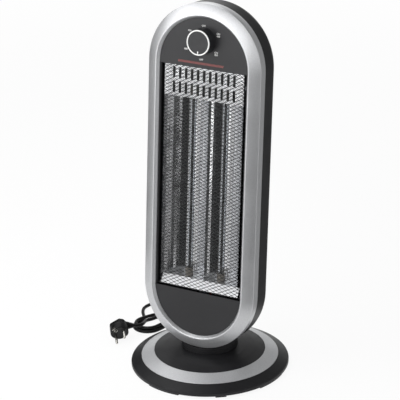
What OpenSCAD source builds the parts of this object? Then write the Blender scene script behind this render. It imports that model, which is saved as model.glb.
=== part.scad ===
// Carbon tower heater: a leaning two-tube head that swings on a round weighted base.
// Millimetres. Z is up, -Y is the front, and the base stands on z = 0.
// Head pieces are drawn in the head's own frame: x across, y the depth behind the
// bezel's ridge, z the height along the head. on_head() leans them into place.

/* [Base] */
// Radius of the base's rim
base_r = 140; // [130:1:160]
// Height of the foot pads
foot_h = 2.6; // [2:0.1:5]
// Height of the rim above the foot pads
rim_h = 7.2; // [6:0.2:12]
// Thickness of the base plate
plate_t = 2.5; // [2:0.1:4]
// Wall of the plastic mouldings
wall = 2.4; // [2:0.1:3]
// Outer radius of the silver ring
ring_r_out = 121.5; // [118:0.5:126]
// Inner radius of the silver ring
ring_r_in = 98.5; // [90:0.5:106]
// Height of the silver ring's outer edge
ring_z_out = 18.8; // [18:0.2:22]
// Height of the silver ring's inner edge
ring_z_in = 28.2; // [27:0.2:31]
// Thickness of the silver ring
ring_t = 2; // [1.2:0.1:2.5]
// Height of the flat land that carries the neck
land_z = 38.3; // [37:0.1:44]
// Radius of that land
land_r = 46; // [44:1:48]
// Width of a foot pad
foot_w = 8; // [5:0.5:12]
// Length of a long foot pad, in degrees
long_foot = 27; // [15:1:32]
// Length of a short foot pad, in degrees
short_foot = 8; // [5:1:11]
// Turn of the foot pads about the base
foot_turn = -8; // [-20:1:20]
// Thickness of the steel weight
weight_t = 8; // [4:0.5:9]
// Inner radius of the weight
weight_r_in = 80; // [79:0.5:90]
// Outer radius of the weight
weight_r_out = 114; // [105:1:118]

/* [Neck and swing drive] */
// Radius of the neck
neck_r = 50; // [48:1:52]
// Radius of the neck's spigot
spigot_r = 22; // [20:0.5:24]
// Radius of the way for the wires
wire_way_r = 15; // [12:0.5:16]
// Half of the swing, in degrees
swing = 32; // [20:1:32]
// Distance from the swing axis to the crank's axis
crank_y = 45; // [44:0.5:48]
// Distance from the crank's axis to its pin
crank_throw = 27; // [20:0.5:27]
// Radius of the crank pin
crank_pin_r = 2.5; // [2:0.1:3]
// Slack at each side of the crank pin
crank_slack = 1.3; // [1.2:0.1:1.6]
// Radius of the motor
motor_r = 25; // [20:0.5:27]
// Height of the motor
motor_h = 14; // [10:0.5:14]
// Travel of the tip-over plunger
tip_travel = 4; // [3:0.5:4]
// Radius of the tip-over plunger
tip_r = 5; // [4:0.5:6]
// Distance of the tip-over plunger from the swing axis
tip_at = 60; // [56:1:64]

/* [Head] */
// Backward lean of the head
lean = 5.8; // [4:0.1:8]
// Place of the ridge plane where it meets the floor
head_y = -60; // [-64:0.5:-56]
// Radius of the bezel's ridge
ridge_r = 88.6; // [86:0.2:92]
// Radius of the bezel's outside
face_r = 108.4; // [106:0.2:114]
// Height of the head's lower end along the head
head_low = 51; // [50:0.2:56]
// Height of the head's upper end along the head
head_high = 664.8; // [655:0.2:690]
// Depth of the bezel
bezel_d = 26.2; // [24:0.2:30]
// Depth where the bezel's broad face ends
face_d = 9; // [7:0.2:12]
// Depth of the panel below the ridge
panel_d = 5; // [4:0.1:7]
// Width of the bezel's inner slope
slope_w = 4; // [3:0.1:5]
// Depth of the whole head
case_d = 70; // [68:0.5:80]
// Rounding of the casing's back edge
case_round = 18; // [12:0.5:20]
// Inset of the casing behind the bezel
case_inset = 0.8; // [0.4:0.1:2]

/* [Grille and heater] */
// Lower edge of the window
window_low = 154; // [150:0.5:158]
// Upper edge of the window
window_high = 554; // [545:0.5:556]
// Gap between the window's side and the grille
grille_gap = 7.1; // [6:0.1:12]
// Depth of the grille's face
grille_d = 7; // [6:0.2:8]
// Thickness of the grille's sheet
grille_t = 0.8; // [0.6:0.1:1.2]
// Width of a grille diamond
cell_w = 21; // [14:1:30]
// Height of a grille diamond
cell_h = 20; // [14:1:30]
// Strand of the grille between the diamonds
strand = 1.6; // [1.2:0.1:2.5]
// Distance of each tube from the middle
tube_x = 31.5; // [28:0.5:34]
// Depth of the tubes
tube_d = 32; // [30:0.5:34]
// Radius of the quartz tubes
tube_r = 5.5; // [4.5:0.1:6]
// Wall of the quartz tubes
tube_wall = 1.1; // [0.8:0.1:1.5]
// Width of the carbon element
element_w = 5; // [3:0.5:6]
// Distance from the mirror to the tube's axis
focus = 14; // [12:0.5:14]
// Thickness of the mirror sheet
mirror_t = 0.9; // [0.6:0.1:1.2]
// Height of the slotted upper mirror
upper_mirror = 54; // [48:1:60]
// Height of the sloped lower mirror
lower_mirror = 15; // [10:1:20]
// Width of a slot in the upper mirror
slot_w = 5; // [3:0.2:7]
// Height of a slot in the upper mirror
slot_h = 20; // [16:0.5:22]
// Spacing of the slots
slot_pitch = 11.6; // [10:0.2:13]

/* [Knob] */
// Height of the knob's axis along the head
knob_z = 602; // [596:0.5:602]
// Radius of the knob's front
knob_r = 21.5; // [18:0.5:26]
// Radius of the knob's foot
knob_foot_r = 22.6; // [19:0.2:27]
// Height of the knob above the panel
knob_h = 20; // [16:0.5:24]
// Radius of the switch shaft
shaft_r = 3; // [2.5:0.1:4]

/* [Cord] */
// Diameter of the mains lead
cord_d = 6.2; // [5.6:0.1:6.2]
// Straight length of the hank's runs
hank_run = 104; // [94:1:120]
// Radius of the hank's folds
hank_r = 26; // [25.5:0.5:28]
// How far the tie draws each run inwards
hank_pinch = 7; // [3:0.5:9]

/* [Hidden] */
$fn = 48;
gap = 0.3;        // between pieces that only lie beside each other
run = 0.05;       // running clearance on a radius
eps = 0.01;
screw_r = 1.5;
head_r = 3;

// heights in the base
plate_z = foot_h;
floor_z = plate_z + plate_t;
rim_z = foot_h + gap;
rim_top = foot_h + rim_h;
bore_r = spigot_r + run;
washer_t = 1;
neck_z = land_z + washer_t + 2 * run;
collar_z = 29.5;
arm_top = collar_z - gap;
arm_t = 3;
motor_z = floor_z + gap;
disc_t = 3;
disc_z = arm_top - arm_t - 1.5 - disc_t;
arm_end = crank_y + crank_throw + crank_pin_r + crank_slack + 2.2;
arm_half = crank_pin_r + crank_slack + 4;
screw_ring_r = (wire_way_r + spigot_r) / 2;

// places in the head
low_c = head_low + face_r;
high_c = head_high - face_r;
inner_r = ridge_r - slope_w;
case_r = face_r - case_inset;
tray_x = inner_r - 1.6;
grille_w = 2 * (inner_r - grille_gap);
boss_r = (tray_x + case_r - wall) / 2;
flange_r = ridge_r + 0.6 * (face_r - ridge_r) - 1.5;
tray_wall = 1;
tray_front = panel_d + 5.6;
mirror_x = grille_w / 2 - grille_t - gap;
mirror_back = tube_d + focus;
tray_back = mirror_back + mirror_t + gap;
tray_low = window_low + 2;
tray_high = window_high + 0.3;
upper_edge = window_high - 0.7 - upper_mirror;
lower_edge = window_low + 3.5 + lower_mirror;
mirror_d = grille_d + grille_t + 1.8;
cap_r = tube_r + 1.5;
cap_l = 25;
tube_low = lower_edge - 1;
tube_high = upper_edge + 10;
lower_wire = lower_edge - 10.5;
upper_wire = upper_edge + 18.5;
panel_back = panel_d + 2.5;
flange_d = panel_back + 0.8;
boss_places = concat(
    [for (s = [-1, 1], z = [260, 460]) [s * boss_r, z]],
    [for (s = [-1, 1]) [s * 50, high_c + sqrt(boss_r * boss_r - 2500)]],
    [for (s = [-1, 1]) [s * 50, low_c - sqrt(boss_r * boss_r - 2500)]]);
tray_posts = [for (s = [-1, 1], z = [190, 520]) [s * 62, z]];
bracket_t = 2.5;
bracket_d = case_d - wall - bracket_t - 4.1;
bracket_y = head_y + (neck_z + 7) * tan(lean) + bracket_d / cos(lean);
bracket_screws = [for (s = [-1, 1], z = [95, 130]) [s * 16, z]];

module on_head() translate([0, head_y, 0]) rotate([-lean, 0, 0]) children();

// a flat shape drawn in x and z, standing from depth d0 back to depth d1
module slab(d0, d1) translate([0, d1, 0]) rotate([90, 0, 0]) linear_extrude(d1 - d0) children();

module stadium(r) {
    for (z = [low_c, high_c]) translate([0, z]) circle(r, $fn = 96);
    translate([-r, low_c]) square([2 * r, high_c - low_c]);
}

// runs a section, drawn as radius and depth, right round the long oval
module oval_run() {
    translate([0, 0, low_c]) rotate([-90, 0, 0]) rotate_extrude(angle = 180, $fn = 96) children();
    translate([0, 0, high_c]) mirror([0, 0, 1]) rotate([-90, 0, 0])
        rotate_extrude(angle = 180, $fn = 96) children();
    for (s = [0, 1]) mirror([s, 0, 0]) translate([0, 0, low_c])
        linear_extrude(high_c - low_c) children();
}

// a round bar along the depth, at x and z of the head
module bar_d(p, r, d0, d1) translate([p[0], d0, p[1]]) rotate([-90, 0, 0]) cylinder(h = d1 - d0, r = r);

module wire(points, r) tube_along(points, r, 6, [1, 0, 0]);

// ---- base ----

module arc_pad(a0, a1, r0, r1, h) rotate([0, 0, a0]) rotate_extrude(angle = a1 - a0, $fn = 96)
    translate([r0, 0]) square([r1 - r0, h]);

pad_r = base_r - 2.5;
weight_screws = [for (a = [45:90:315]) [a, (weight_r_in + weight_r_out) / 2]];
tip_angle = 160;
motor_ears = [for (s = [-1, 1]) [s * (motor_r + 5), -crank_y]];

module base_plate() color([0.13, 0.13, 0.14]) difference() {
    union() {
        translate([0, 0, plate_z]) cylinder(h = plate_t, r = base_r - 4, $fn = 96);
        rotate([0, 0, tip_angle]) translate([tip_at, 0, floor_z - eps]) cylinder(h = 1.3 + eps, r = tip_r + 4);
    }
    rotate([0, 0, tip_angle]) translate([tip_at, 0, 0]) cylinder(h = 20, r = tip_r + run);
    for (w = weight_screws) rotate([0, 0, w[0]]) translate([w[1], 0, 0]) cylinder(h = 20, r = screw_r + gap);
    for (m = motor_ears) translate([m[0], m[1], 0]) cylinder(h = 20, r = screw_r - 0.2);
}

module base_cover() color([0.16, 0.16, 0.17]) difference() {
    rotate_extrude($fn = 96) polygon([
        [base_r - 4 + gap, rim_z], [base_r - 0.8, rim_z], [base_r, rim_z + 1.4], [base_r, rim_top - 1.7],
        [base_r - 0.8, rim_top], [ring_r_out + gap, ring_z_out - 0.15],
        [ring_r_out + gap, ring_z_out - ring_t - gap], [ring_r_in - gap, ring_z_in - ring_t - gap],
        [ring_r_in - gap, ring_z_in + 0.1], [80, land_z - 5.4], [65, land_z - 2.4], [52, land_z - 0.6],
        [land_r, land_z], [bore_r, land_z], [bore_r, collar_z], [bore_r + 4, collar_z],
        [bore_r + 4, land_z - wall], [52, land_z - 0.6 - wall], [65, land_z - 2.4 - wall],
        [80, land_z - 5.4 - wall], [ring_r_in - 2.8, ring_z_in - wall],
        [ring_r_in - 1.6, ring_z_in - ring_t - gap - wall],
        [ring_r_out + gap, ring_z_out - ring_t - gap - wall], [base_r - 4 + gap, rim_top - 3]]);
    rotate([0, 0, exit_turn]) translate([0, base_r - 30, gland_z]) rotate([-90, 0, 0])
        cylinder(h = 40, r = gland_r + gap);
}

module base_trim_ring() color([0.72, 0.72, 0.73]) rotate_extrude($fn = 96) polygon([
    [ring_r_out, ring_z_out - ring_t], [ring_r_out, ring_z_out], [ring_r_out - 0.6, ring_z_out + 0.6],
    [ring_r_in + 0.8, ring_z_in + 0.2], [ring_r_in, ring_z_in], [ring_r_in, ring_z_in - ring_t]]);

module base_weight() color([0.35, 0.36, 0.38]) difference() {
    translate([0, 0, floor_z + gap]) cylinder(h = weight_t, r = weight_r_out, $fn = 96);
    cylinder(h = 60, r = weight_r_in, $fn = 96);
    rotate([0, 0, exit_turn]) translate([-14, 0, 0]) cube([28, base_r, 60]);
    for (w = weight_screws) rotate([0, 0, w[0]]) translate([w[1], 0, 0]) cylinder(h = 60, r = screw_r - 0.2);
}

module long_feet() color([0.1, 0.1, 0.1]) for (k = [0:3])
    arc_pad(-90 + foot_turn + 90 * k - long_foot / 2, -90 + foot_turn + 90 * k + long_foot / 2,
        pad_r - foot_w, pad_r, foot_h);

module short_feet() color([0.1, 0.1, 0.1]) for (k = [0:3])
    arc_pad(-45 + foot_turn + 90 * k - short_foot / 2, -45 + foot_turn + 90 * k + short_foot / 2,
        pad_r - foot_w, pad_r, foot_h);

module base_screws() color([0.6, 0.6, 0.62]) for (w = weight_screws) rotate([0, 0, w[0]])
    translate([w[1], 0, 0]) {
        translate([0, 0, plate_z - 1.8]) cylinder(h = 1.8 - run, r = head_r);
        translate([0, 0, plate_z - run - eps]) cylinder(h = plate_t + 6, r = screw_r - 0.2 - run);
    }

module bearing_washer() color([0.9, 0.9, 0.88]) translate([0, 0, land_z + run]) difference() {
    cylinder(h = washer_t, r = 40);
    translate([0, 0, -1]) cylinder(h = 4, r = bore_r + 1);
}

module swing_motor() color([0.75, 0.75, 0.76]) difference() {
    translate([0, -crank_y, motor_z]) {
        cylinder(h = motor_h, r = motor_r);
        translate([0, 0, motor_h - eps]) cylinder(h = disc_z - motor_z - motor_h - gap, r = 5);
        cylinder(h = disc_z - motor_z + disc_t - 0.6, r = 3);
        translate([-motor_r - 9, -5, 0]) cube([2 * motor_r + 18, 10, 2]);
    }
    for (m = motor_ears) translate([m[0], m[1], 0]) cylinder(h = 40, r = screw_r + gap);
}

module motor_screws() color([0.6, 0.6, 0.62]) for (m = motor_ears) translate([m[0], m[1], 0]) {
    translate([0, 0, motor_z + 2 + run]) cylinder(h = 1.8, r = head_r);
    translate([0, 0, plate_z + 0.4]) cylinder(h = motor_z + 2 - plate_z, r = screw_r - 0.2 - run);
}

module crank_disc() color([0.86, 0.86, 0.84]) translate([0, -crank_y, disc_z]) {
    difference() {
        union() {
            cylinder(h = disc_t, r = 9);
            translate([-crank_pin_r - 3, -crank_throw, 0]) cube([2 * crank_pin_r + 6, crank_throw, disc_t]);
            translate([0, -crank_throw, 0]) cylinder(h = disc_t, r = crank_pin_r + 3);
        }
        translate([0, 0, -1]) cylinder(h = 9, r = 3 + run);
    }
    translate([0, -crank_throw, 0]) cylinder(h = arm_top - disc_z, r = crank_pin_r);
}

flange_z = floor_z + 1.3 + tip_travel + gap;
tip_box_z = flange_z + 12.4;

module tip_switch() color([0.2, 0.2, 0.22]) rotate([0, 0, tip_angle]) translate([tip_at, 0, 0]) {
    difference() {
        union() {
            translate([-10, -6, tip_box_z]) cube([20, 12, 6]);
            for (s = [-1, 1]) translate([s * 13.5 - 1.5, -6, floor_z + run])
                cube([3, 12, tip_box_z + 6 - floor_z - run]);
            for (s = [-1, 1]) translate([s > 0 ? 10 - eps : -12 - eps, -6, tip_box_z])
                cube([2 + 2 * eps, 12, 6]);
        }
        translate([0, 0, tip_box_z - 1]) cylinder(h = 3, r = 2.6);
    }
}

module tip_plunger() color([0.85, 0.2, 0.15]) rotate([0, 0, tip_angle]) translate([tip_at, 0, 0]) {
    translate([0, 0, 0.2]) cylinder(h = flange_z, r = tip_r);
    translate([0, 0, flange_z]) cylinder(h = 1.6, r = tip_r + 2.2);
    translate([0, 0, flange_z + 1.5]) cylinder(h = tip_box_z - gap - flange_z - 1.5, r = 1.6);
}

module tip_spring() color([0.7, 0.7, 0.72]) rotate([0, 0, tip_angle])
    translate([tip_at, 0, flange_z + 1.6 + gap]) tube_along(
        [for (i = [0:40]) [3.6 * cos(45 * i), 3.6 * sin(45 * i), 0.5 + (tip_box_z - flange_z - 3.2) * i / 40]],
        0.4, 6, [0, 0, 1]);

// ---- neck and drive ----

module head_hull_shape() on_head() slab(-4, case_d + gap) stadium(face_r + gap);

module neck() color([0.1, 0.1, 0.11]) difference() {
    union() {
        difference() {
            union() {
                translate([0, 0, land_z + 0.2]) cylinder(h = 34, r = neck_r, $fn = 96);
            }
            for (z = [4:4:20]) translate([0, 0, land_z + z]) difference() {
                cylinder(h = 1.2, r = neck_r + 1, $fn = 96);
                translate([0, 0, -1]) cylinder(h = 4, r = neck_r - 0.8, $fn = 96);
            }
            translate([0, 0, neck_z + 3]) cylinder(h = 40, r = neck_r - 3, $fn = 96);
            translate([0, 0, 0]) cylinder(h = neck_z, r = 42);
        }
        translate([0, 0, arm_top + gap]) cylinder(h = neck_z - arm_top + 1, r = spigot_r);
        for (s = [-1, 1]) translate([s * 18, 24, neck_z + 2]) cylinder(h = 5, r = 4.5);
    }
    translate([0, 0, 0]) cylinder(h = 60, r = wire_way_r);
    for (k = [0:2]) rotate([0, 0, 120 * k + 30]) translate([screw_ring_r, 0, 0]) cylinder(h = 36, r = screw_r - 0.2);
    for (s = [-1, 1]) translate([s * 18, 24, neck_z + 1]) cylinder(h = 20, r = screw_r - 0.2);
    head_hull_shape();
}

module swing_arm() color([0.62, 0.63, 0.65]) translate([0, 0, arm_top - arm_t]) difference() {
    union() {
        cylinder(h = arm_t, r = bore_r + 6);
        translate([-arm_half, -arm_end, 0]) cube([2 * arm_half, arm_end, arm_t]);
    }
    translate([0, 0, -1]) cylinder(h = 9, r = wire_way_r);
    for (k = [0:2]) rotate([0, 0, 120 * k + 30]) translate([screw_ring_r, 0, -1]) cylinder(h = 9, r = screw_r + 0.1);
    slot_near = crank_y * 0.98;
    translate([-crank_pin_r - crank_slack, -arm_end + 2.2, -1])
        cube([2 * (crank_pin_r + crank_slack), arm_end - 2.2 - slot_near, 9]);
}

module arm_screws() color([0.6, 0.6, 0.62]) for (k = [0:2]) rotate([0, 0, 120 * k + 30])
    translate([screw_ring_r, 0, 0]) {
        translate([0, 0, arm_top - arm_t - 1.2 - run]) cylinder(h = 1.2, r = head_r - 0.4);
        translate([0, 0, arm_top - arm_t - run - eps]) cylinder(h = arm_t + 5, r = screw_r - 0.2 - run);
    }

module neck_bracket() color([0.68, 0.69, 0.71]) difference() {
    union() {
        on_head() slab(bracket_d, bracket_d + bracket_t) translate([-28, 52]) square([56, 93]);
        translate([-28, bracket_y, neck_z + 7 + gap]) cube([56, 32 - bracket_y, bracket_t]);
    }
    for (s = [-1, 1]) translate([s * 18, 24, neck_z]) cylinder(h = 40, r = screw_r + gap);
    on_head() for (p = bracket_screws) bar_d(p, screw_r + gap, bracket_d - 9, bracket_d + 9);
    on_head() slab(40, 75) translate([-wire_way_r, 30]) square([2 * wire_way_r, 45]);
}

module bracket_screws() color([0.6, 0.6, 0.62]) {
    for (s = [-1, 1]) translate([s * 18, 24, neck_z + 7 + gap + bracket_t]) {
        translate([0, 0, run]) cylinder(h = 1.8, r = head_r);
        translate([0, 0, run - 8]) cylinder(h = 8.1, r = screw_r - 0.2 - run);
    }
    on_head() for (p = bracket_screws) {
        bar_d(p, head_r, bracket_d - 1.8 - run, bracket_d - run);
        bar_d(p, screw_r - 0.2 - run, bracket_d - 1, bracket_d + bracket_t + 4);
    }
}

// ---- head ----

module case_section(inset) {
    r = case_r - inset;
    polygon([[0, bezel_d + gap], [r, bezel_d + gap], [r, case_d - case_round],
        [case_r - case_round, case_d - case_round], [case_r - case_round, case_d - inset], [0, case_d - inset]]);
    translate([case_r - case_round, case_d - case_round]) circle(case_round - inset, $fn = 48);
}

module case_solid(inset) {
    translate([0, 0, low_c]) rotate([-90, 0, 0]) rotate_extrude(angle = 180, $fn = 96)
        intersection() { case_section(inset); square(200); }
    translate([0, 0, high_c]) mirror([0, 0, 1]) rotate([-90, 0, 0]) rotate_extrude(angle = 180, $fn = 96)
        intersection() { case_section(inset); square(200); }
    translate([0, 0, low_c]) linear_extrude(high_c - low_c) {
        case_section(inset);
        mirror([1, 0]) case_section(inset);
    }
}

module rear_casing() color([0.17, 0.17, 0.18]) on_head() difference() {
    union() {
        difference() {
            case_solid(0);
            difference() {
                case_solid(wall);
                for (p = boss_places) bar_d(p, 4.5, 30.6, case_d);
                for (p = tray_posts) bar_d(p, 5, tray_back + tray_wall + gap, case_d);
                for (p = bracket_screws) bar_d(p, 4.5, bracket_d + bracket_t + run, case_d);
            }
            slab(bezel_d, bezel_d + gap + eps) stadium(case_r + 1);
            slab(bezel_d, bezel_d + wall) stadium(case_r - wall);
        }
        slab(bezel_d - 5, bezel_d + 2) difference() {
            stadium(case_r - wall);
            stadium(case_r - 2 * wall);
        }
    }
    for (p = boss_places) {
        bar_d(p, screw_r + gap, 20, case_d + 4);
        bar_d(p, head_r + 0.4, case_d - 8, case_d + 4);
    }
    for (p = tray_posts) bar_d(p, screw_r - 0.2, tray_back, case_d - 6);
    for (p = bracket_screws) bar_d(p, screw_r - 0.2, bracket_d, case_d - 1.5);
    slab(bracket_d - 8, case_d - wall - 0.2) translate([-31, 40]) square([62, 26]);
    for (z = vent_rows, x = [-64, 4]) translate([x, case_d - wall - 1, z]) cube([60, wall + 2, 4]);
}

vent_rows = concat([for (k = [0:7]) 440 + 10 * k], [for (k = [0:7]) 200 + 10 * k]);

module front_bezel() color([0.74, 0.74, 0.75]) on_head() oval_run() polygon([
    [inner_r, panel_d], [ridge_r - 0.6, 0.7], [ridge_r - 0.2, 0.2], [ridge_r + 0.3, 0], [ridge_r + 0.9, 0.1],
    [ridge_r + 1.6, 0.5], [face_r - 1.6, face_d - 0.4], [face_r - 0.5, face_d + 0.5], [face_r, face_d + 1.8],
    [face_r - 0.4, bezel_d], [face_r - 2.6, bezel_d], [face_r - 2.2, face_d + 2.2],
    [face_r - 3, face_d + 1.4], [ridge_r + 0.8, 2.9], [inner_r + 2.2, panel_d + 1], [inner_r + 2.2, panel_d + 3],
    [inner_r, panel_d + 3]]);

module front_frame() color([0.25, 0.25, 0.26]) on_head() difference() {
    union() {
        slab(panel_d, panel_back + eps) stadium(inner_r - gap);
        slab(panel_back, flange_d + eps) difference() {
            stadium(inner_r - gap);
            stadium(inner_r - gap - 2);
        }
        slab(flange_d, flange_d + 2) difference() {
            stadium(flange_r);
            stadium(inner_r - gap - 2);
        }
        for (p = boss_places) bar_d(p, 4.5, flange_d + 1, 30.3);
    }
    for (p = boss_places) bar_d(p, screw_r - 0.2, flange_d + 3, 40);
    slab(0, panel_back + gap) translate([-120, window_low]) square([240, window_high - window_low]);
    bar_d([0, knob_z], 4.8, 0, 20);
}

module grille_net() {
    w = grille_w - 2 * strand;
    low = window_low + 4;
    high = window_high - 0.4;
    cols = floor(w / cell_w);
    rows = floor((high - low - 2 * strand) / cell_h);
    mid = (low + high) / 2;
    difference() {
        translate([-grille_w / 2, low]) square([grille_w, high - low]);
        for (j = [0:2 * rows - 2], i = [0:cols - 1 - (j % 2)])
            translate([(i - (cols - 1 - j % 2) / 2) * cell_w, mid + (j - rows + 1) * cell_h / 2])
                polygon([[-cell_w / 2 + strand, 0], [0, -cell_h / 2 + strand], [cell_w / 2 - strand, 0],
                    [0, cell_h / 2 - strand]]);
    }
}

module guard_grille() color([0.24, 0.24, 0.25]) on_head() {
    slab(grille_d, grille_d + grille_t) grille_net();
    for (s = [0, 1]) mirror([s, 0, 0]) translate([grille_w / 2 - grille_t, grille_d, window_low + 4])
        cube([grille_t, 9, window_high - window_low - 6]);
}

module heater_tray() color([0.12, 0.12, 0.13]) on_head() difference() {
    slab(tray_front, tray_back + tray_wall) translate([-tray_x, tray_low]) square([2 * tray_x, tray_high - tray_low]);
    slab(tray_front - 1, tray_back) translate([-tray_x + tray_wall, tray_low + tray_wall])
        square([2 * (tray_x - tray_wall), tray_high - tray_low - 2 * tray_wall]);
    for (p = tray_posts) bar_d(p, screw_r + gap, 0, 80);
    for (s = [-1, 1], z = [lower_wire, upper_wire]) bar_d([s * tube_x, z], 2.2, tray_back - 2, 80);
    for (s = [-1, 1], z = [258, 466]) translate([s * (tray_x - 0.5), 0, z]) translate([-3, tray_front - 1, -6])
        cube([6, 0.5, 12]);
}

function bowl(x, b) = mirror_back - pow(abs(x) - tube_x, 2) / (4 * focus) + b;

module main_mirror() color([0.88, 0.88, 0.89]) on_head() translate([0, 0, lower_edge + 1.2])
    linear_extrude(upper_edge - lower_edge - 2.4) {
        n = 44;
        polygon(concat(
            [for (i = [0:n]) let (x = -mirror_x + 2 * mirror_x * i / n) [x, bowl(x, 0)]],
            [for (i = [n:-1:0]) let (x = -mirror_x + 2 * mirror_x * i / n) [x, bowl(x, mirror_t)]]));
    }

module upper_mirror_plate() color([0.85, 0.85, 0.86]) on_head() difference() {
    union() {
        translate([-mirror_x, mirror_d, upper_edge]) cube([2 * mirror_x, mirror_t, upper_mirror]);
        translate([-mirror_x, mirror_d, upper_edge - 0.9])
            cube([2 * mirror_x, mirror_back + mirror_t - mirror_d, 0.9 + eps]);
        translate([-mirror_x, mirror_d, upper_edge + upper_mirror - 0.9])
            cube([2 * mirror_x, tray_back - gap - mirror_d, 0.9]);
    }
    slots = 2 * floor((mirror_x - 12) / slot_pitch) + 1;
    for (i = [0:slots - 1], row = [0, 1])
        translate([(i - (slots - 1) / 2) * slot_pitch, 0, upper_edge + 4 + slot_w / 2 + row * (slot_h + 6)])
            slab(mirror_d - 1, mirror_d + 2) {
                for (z = [0, slot_h - slot_w]) translate([0, z]) circle(slot_w / 2, $fn = 16);
                translate([-slot_w / 2, 0]) square([slot_w, slot_h - slot_w]);
            }
    for (s = [-1, 1]) translate([s * tube_x, tube_d, upper_edge - 3]) cylinder(h = 6, r = cap_r + gap);
}

module lower_mirror_plate() color([0.85, 0.85, 0.86]) on_head() difference() {
    low = window_low + 3.5;
    translate([-mirror_x, 0, 0]) rotate([90, 0, 90]) linear_extrude(2 * mirror_x) polygon([
        [mirror_d, low], [mirror_d + 0.6 * lower_mirror, lower_edge], [mirror_back + mirror_t, lower_edge + 0.9],
        [mirror_back + mirror_t, lower_edge], [mirror_d + 0.6 * lower_mirror + 1, lower_edge - 1],
        [mirror_d + 1.2, low]]);
    for (s = [-1, 1]) translate([s * tube_x, tube_d, lower_edge - 6]) cylinder(h = 12, r = cap_r + gap);
}

module quartz_tubes() color([0.8, 0.82, 0.85, 0.4]) on_head() for (s = [-1, 1])
    translate([s * tube_x, tube_d, tube_low]) difference() {
        cylinder(h = tube_high - tube_low, r = tube_r);
        translate([0, 0, -1]) cylinder(h = tube_high - tube_low + 2, r = tube_r - tube_wall);
    }

module carbon_elements() color([0.05, 0.05, 0.05]) on_head() for (s = [-1, 1])
    translate([s * tube_x, tube_d, tube_low + 0.5]) {
        translate([-element_w / 2, -0.4, 0]) cube([element_w, 0.8, tube_high - tube_low - 1]);
        for (z = [10, tube_high - tube_low - 14]) translate([0, 0, z]) cylinder(h = 3, r = tube_r - tube_wall - run);
    }

module lower_caps() color([0.85, 0.83, 0.78]) on_head() for (s = [-1, 1])
    translate([s * tube_x, tube_d, 0]) difference() {
        translate([0, 0, tube_low - 5]) cylinder(h = 21, r = cap_r);
        translate([0, 0, tube_low - gap]) cylinder(h = 30, r = tube_r + gap);
        translate([0, 0, tube_low - 9]) cylinder(h = 12, r = 1.6);
    }

module upper_caps() color([0.85, 0.83, 0.78]) on_head() for (s = [-1, 1])
    translate([s * tube_x, tube_d, 0]) difference() {
        translate([0, 0, tube_high - 16]) cylinder(h = 21, r = cap_r);
        translate([0, 0, tube_high - 30]) cylinder(h = 30 + gap, r = tube_r + gap);
        translate([0, 0, tube_high]) cylinder(h = 12, r = 1.6);
    }

back_d = tray_back + tray_wall;

module terminal_block() color([0.9, 0.9, 0.88]) on_head() difference() {
    translate([-24, back_d + run, 176]) cube([48, 9, 16]);
    for (i = [-1, 0, 1]) translate([i * 14, back_d + 4.5, 170]) cylinder(h = 30, r = 2.6);
}

module thermal_cutout() color([0.78, 0.76, 0.7]) on_head() {
    bar_d([0, 350], 8, back_d + run, back_d + 7);
    translate([-12, back_d + run, 344]) cube([24, 1, 12]);
    for (s = [-1, 1]) translate([s * 4 - 1.5, back_d + 6.9, 349.5]) cube([3, 5, 1]);
}

module inner_wires() color([0.55, 0.1, 0.08]) on_head() {
    wire_d = case_d - wall - 7.4;
    for (s = [-1, 1]) {
        wire([[s * tube_x, tube_d, tube_low + 0.2], [s * tube_x, tube_d, lower_wire],
            [s * tube_x, wire_d, lower_wire], [s * 14, wire_d, 168], [s * 14, back_d + 4.5, 168],
            [s * 14, back_d + 4.5, 180]], 1.3);
        wire([[s * tube_x, tube_d, tube_high - 0.2], [s * tube_x, tube_d, upper_wire],
            [s * tube_x, wire_d, upper_wire], [s * 10, wire_d, 575], [s * 10, 40, 592]], 1.3);
    }
    wire([[0, back_d + 4.5, 184], [0, back_d + 4.5, 160], [0, bracket_d - 7, 140],
        [0, bracket_d - 7, 90], [0, -head_y - 0.5, 50], [0, -head_y + 0.5, 20]], 2.2);
}

module rotary_switch() color([0.83, 0.8, 0.72]) on_head() difference() {
    union() {
        translate([-15, panel_back + gap, knob_z - 15]) cube([30, 22, 30]);
        bar_d([0, knob_z], 4.5, panel_d - 3.2, panel_back + 2);
        for (s = [-1, 1]) translate([s * 10 - 2, panel_back + gap + 21.9, knob_z - 4]) cube([4, 8, 1]);
    }
    bar_d([0, knob_z], shaft_r + run, 0, panel_back + 16);
}

module switch_nut() color([0.75, 0.75, 0.76]) on_head() difference() {
    translate([0, panel_d - 2.6, knob_z]) rotate([-90, 0, 0]) cylinder(h = 2.5, r = 7.5, $fn = 6);
    bar_d([0, knob_z], 4.5 + run, 0, 20);
}

knob_front = panel_d - knob_h;
knob_foot = panel_d - 0.6;

module switch_shaft() color([0.7, 0.7, 0.72]) on_head() bar_d([0, knob_z], shaft_r, knob_front + 5, panel_back + 15);

module control_knob() color([0.15, 0.15, 0.16]) on_head() translate([0, 0, knob_z]) rotate([90, 0, 0]) difference() {
    union() {
        translate([0, 0, -knob_foot]) cylinder(h = knob_foot - knob_front, r1 = knob_foot_r, r2 = knob_r, $fn = 96);
    }
    translate([0, 0, -knob_foot - 1]) difference() {
        cylinder(h = 1 + knob_foot - knob_front - 3, r = knob_r - 2.5);
        cylinder(h = 40, r = shaft_r + 4);
    }
    translate([0, 0, -knob_foot - 1]) cylinder(h = 4.4, r = 8.4);
    translate([0, 0, -knob_foot - 1]) cylinder(h = 1 + knob_foot - knob_front - 4.9, r = shaft_r + run);
    translate([0, 0, -knob_front - 1.4]) difference() {
        cylinder(h = 5, r = knob_r + 5);
        translate([0, 0, -1]) cylinder(h = 9, r = knob_r - 2 - run);
    }
    translate([-0.9, -knob_r + 2.4, -knob_front - 0.8]) cube([1.8, 4.4, 3]);
}

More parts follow.
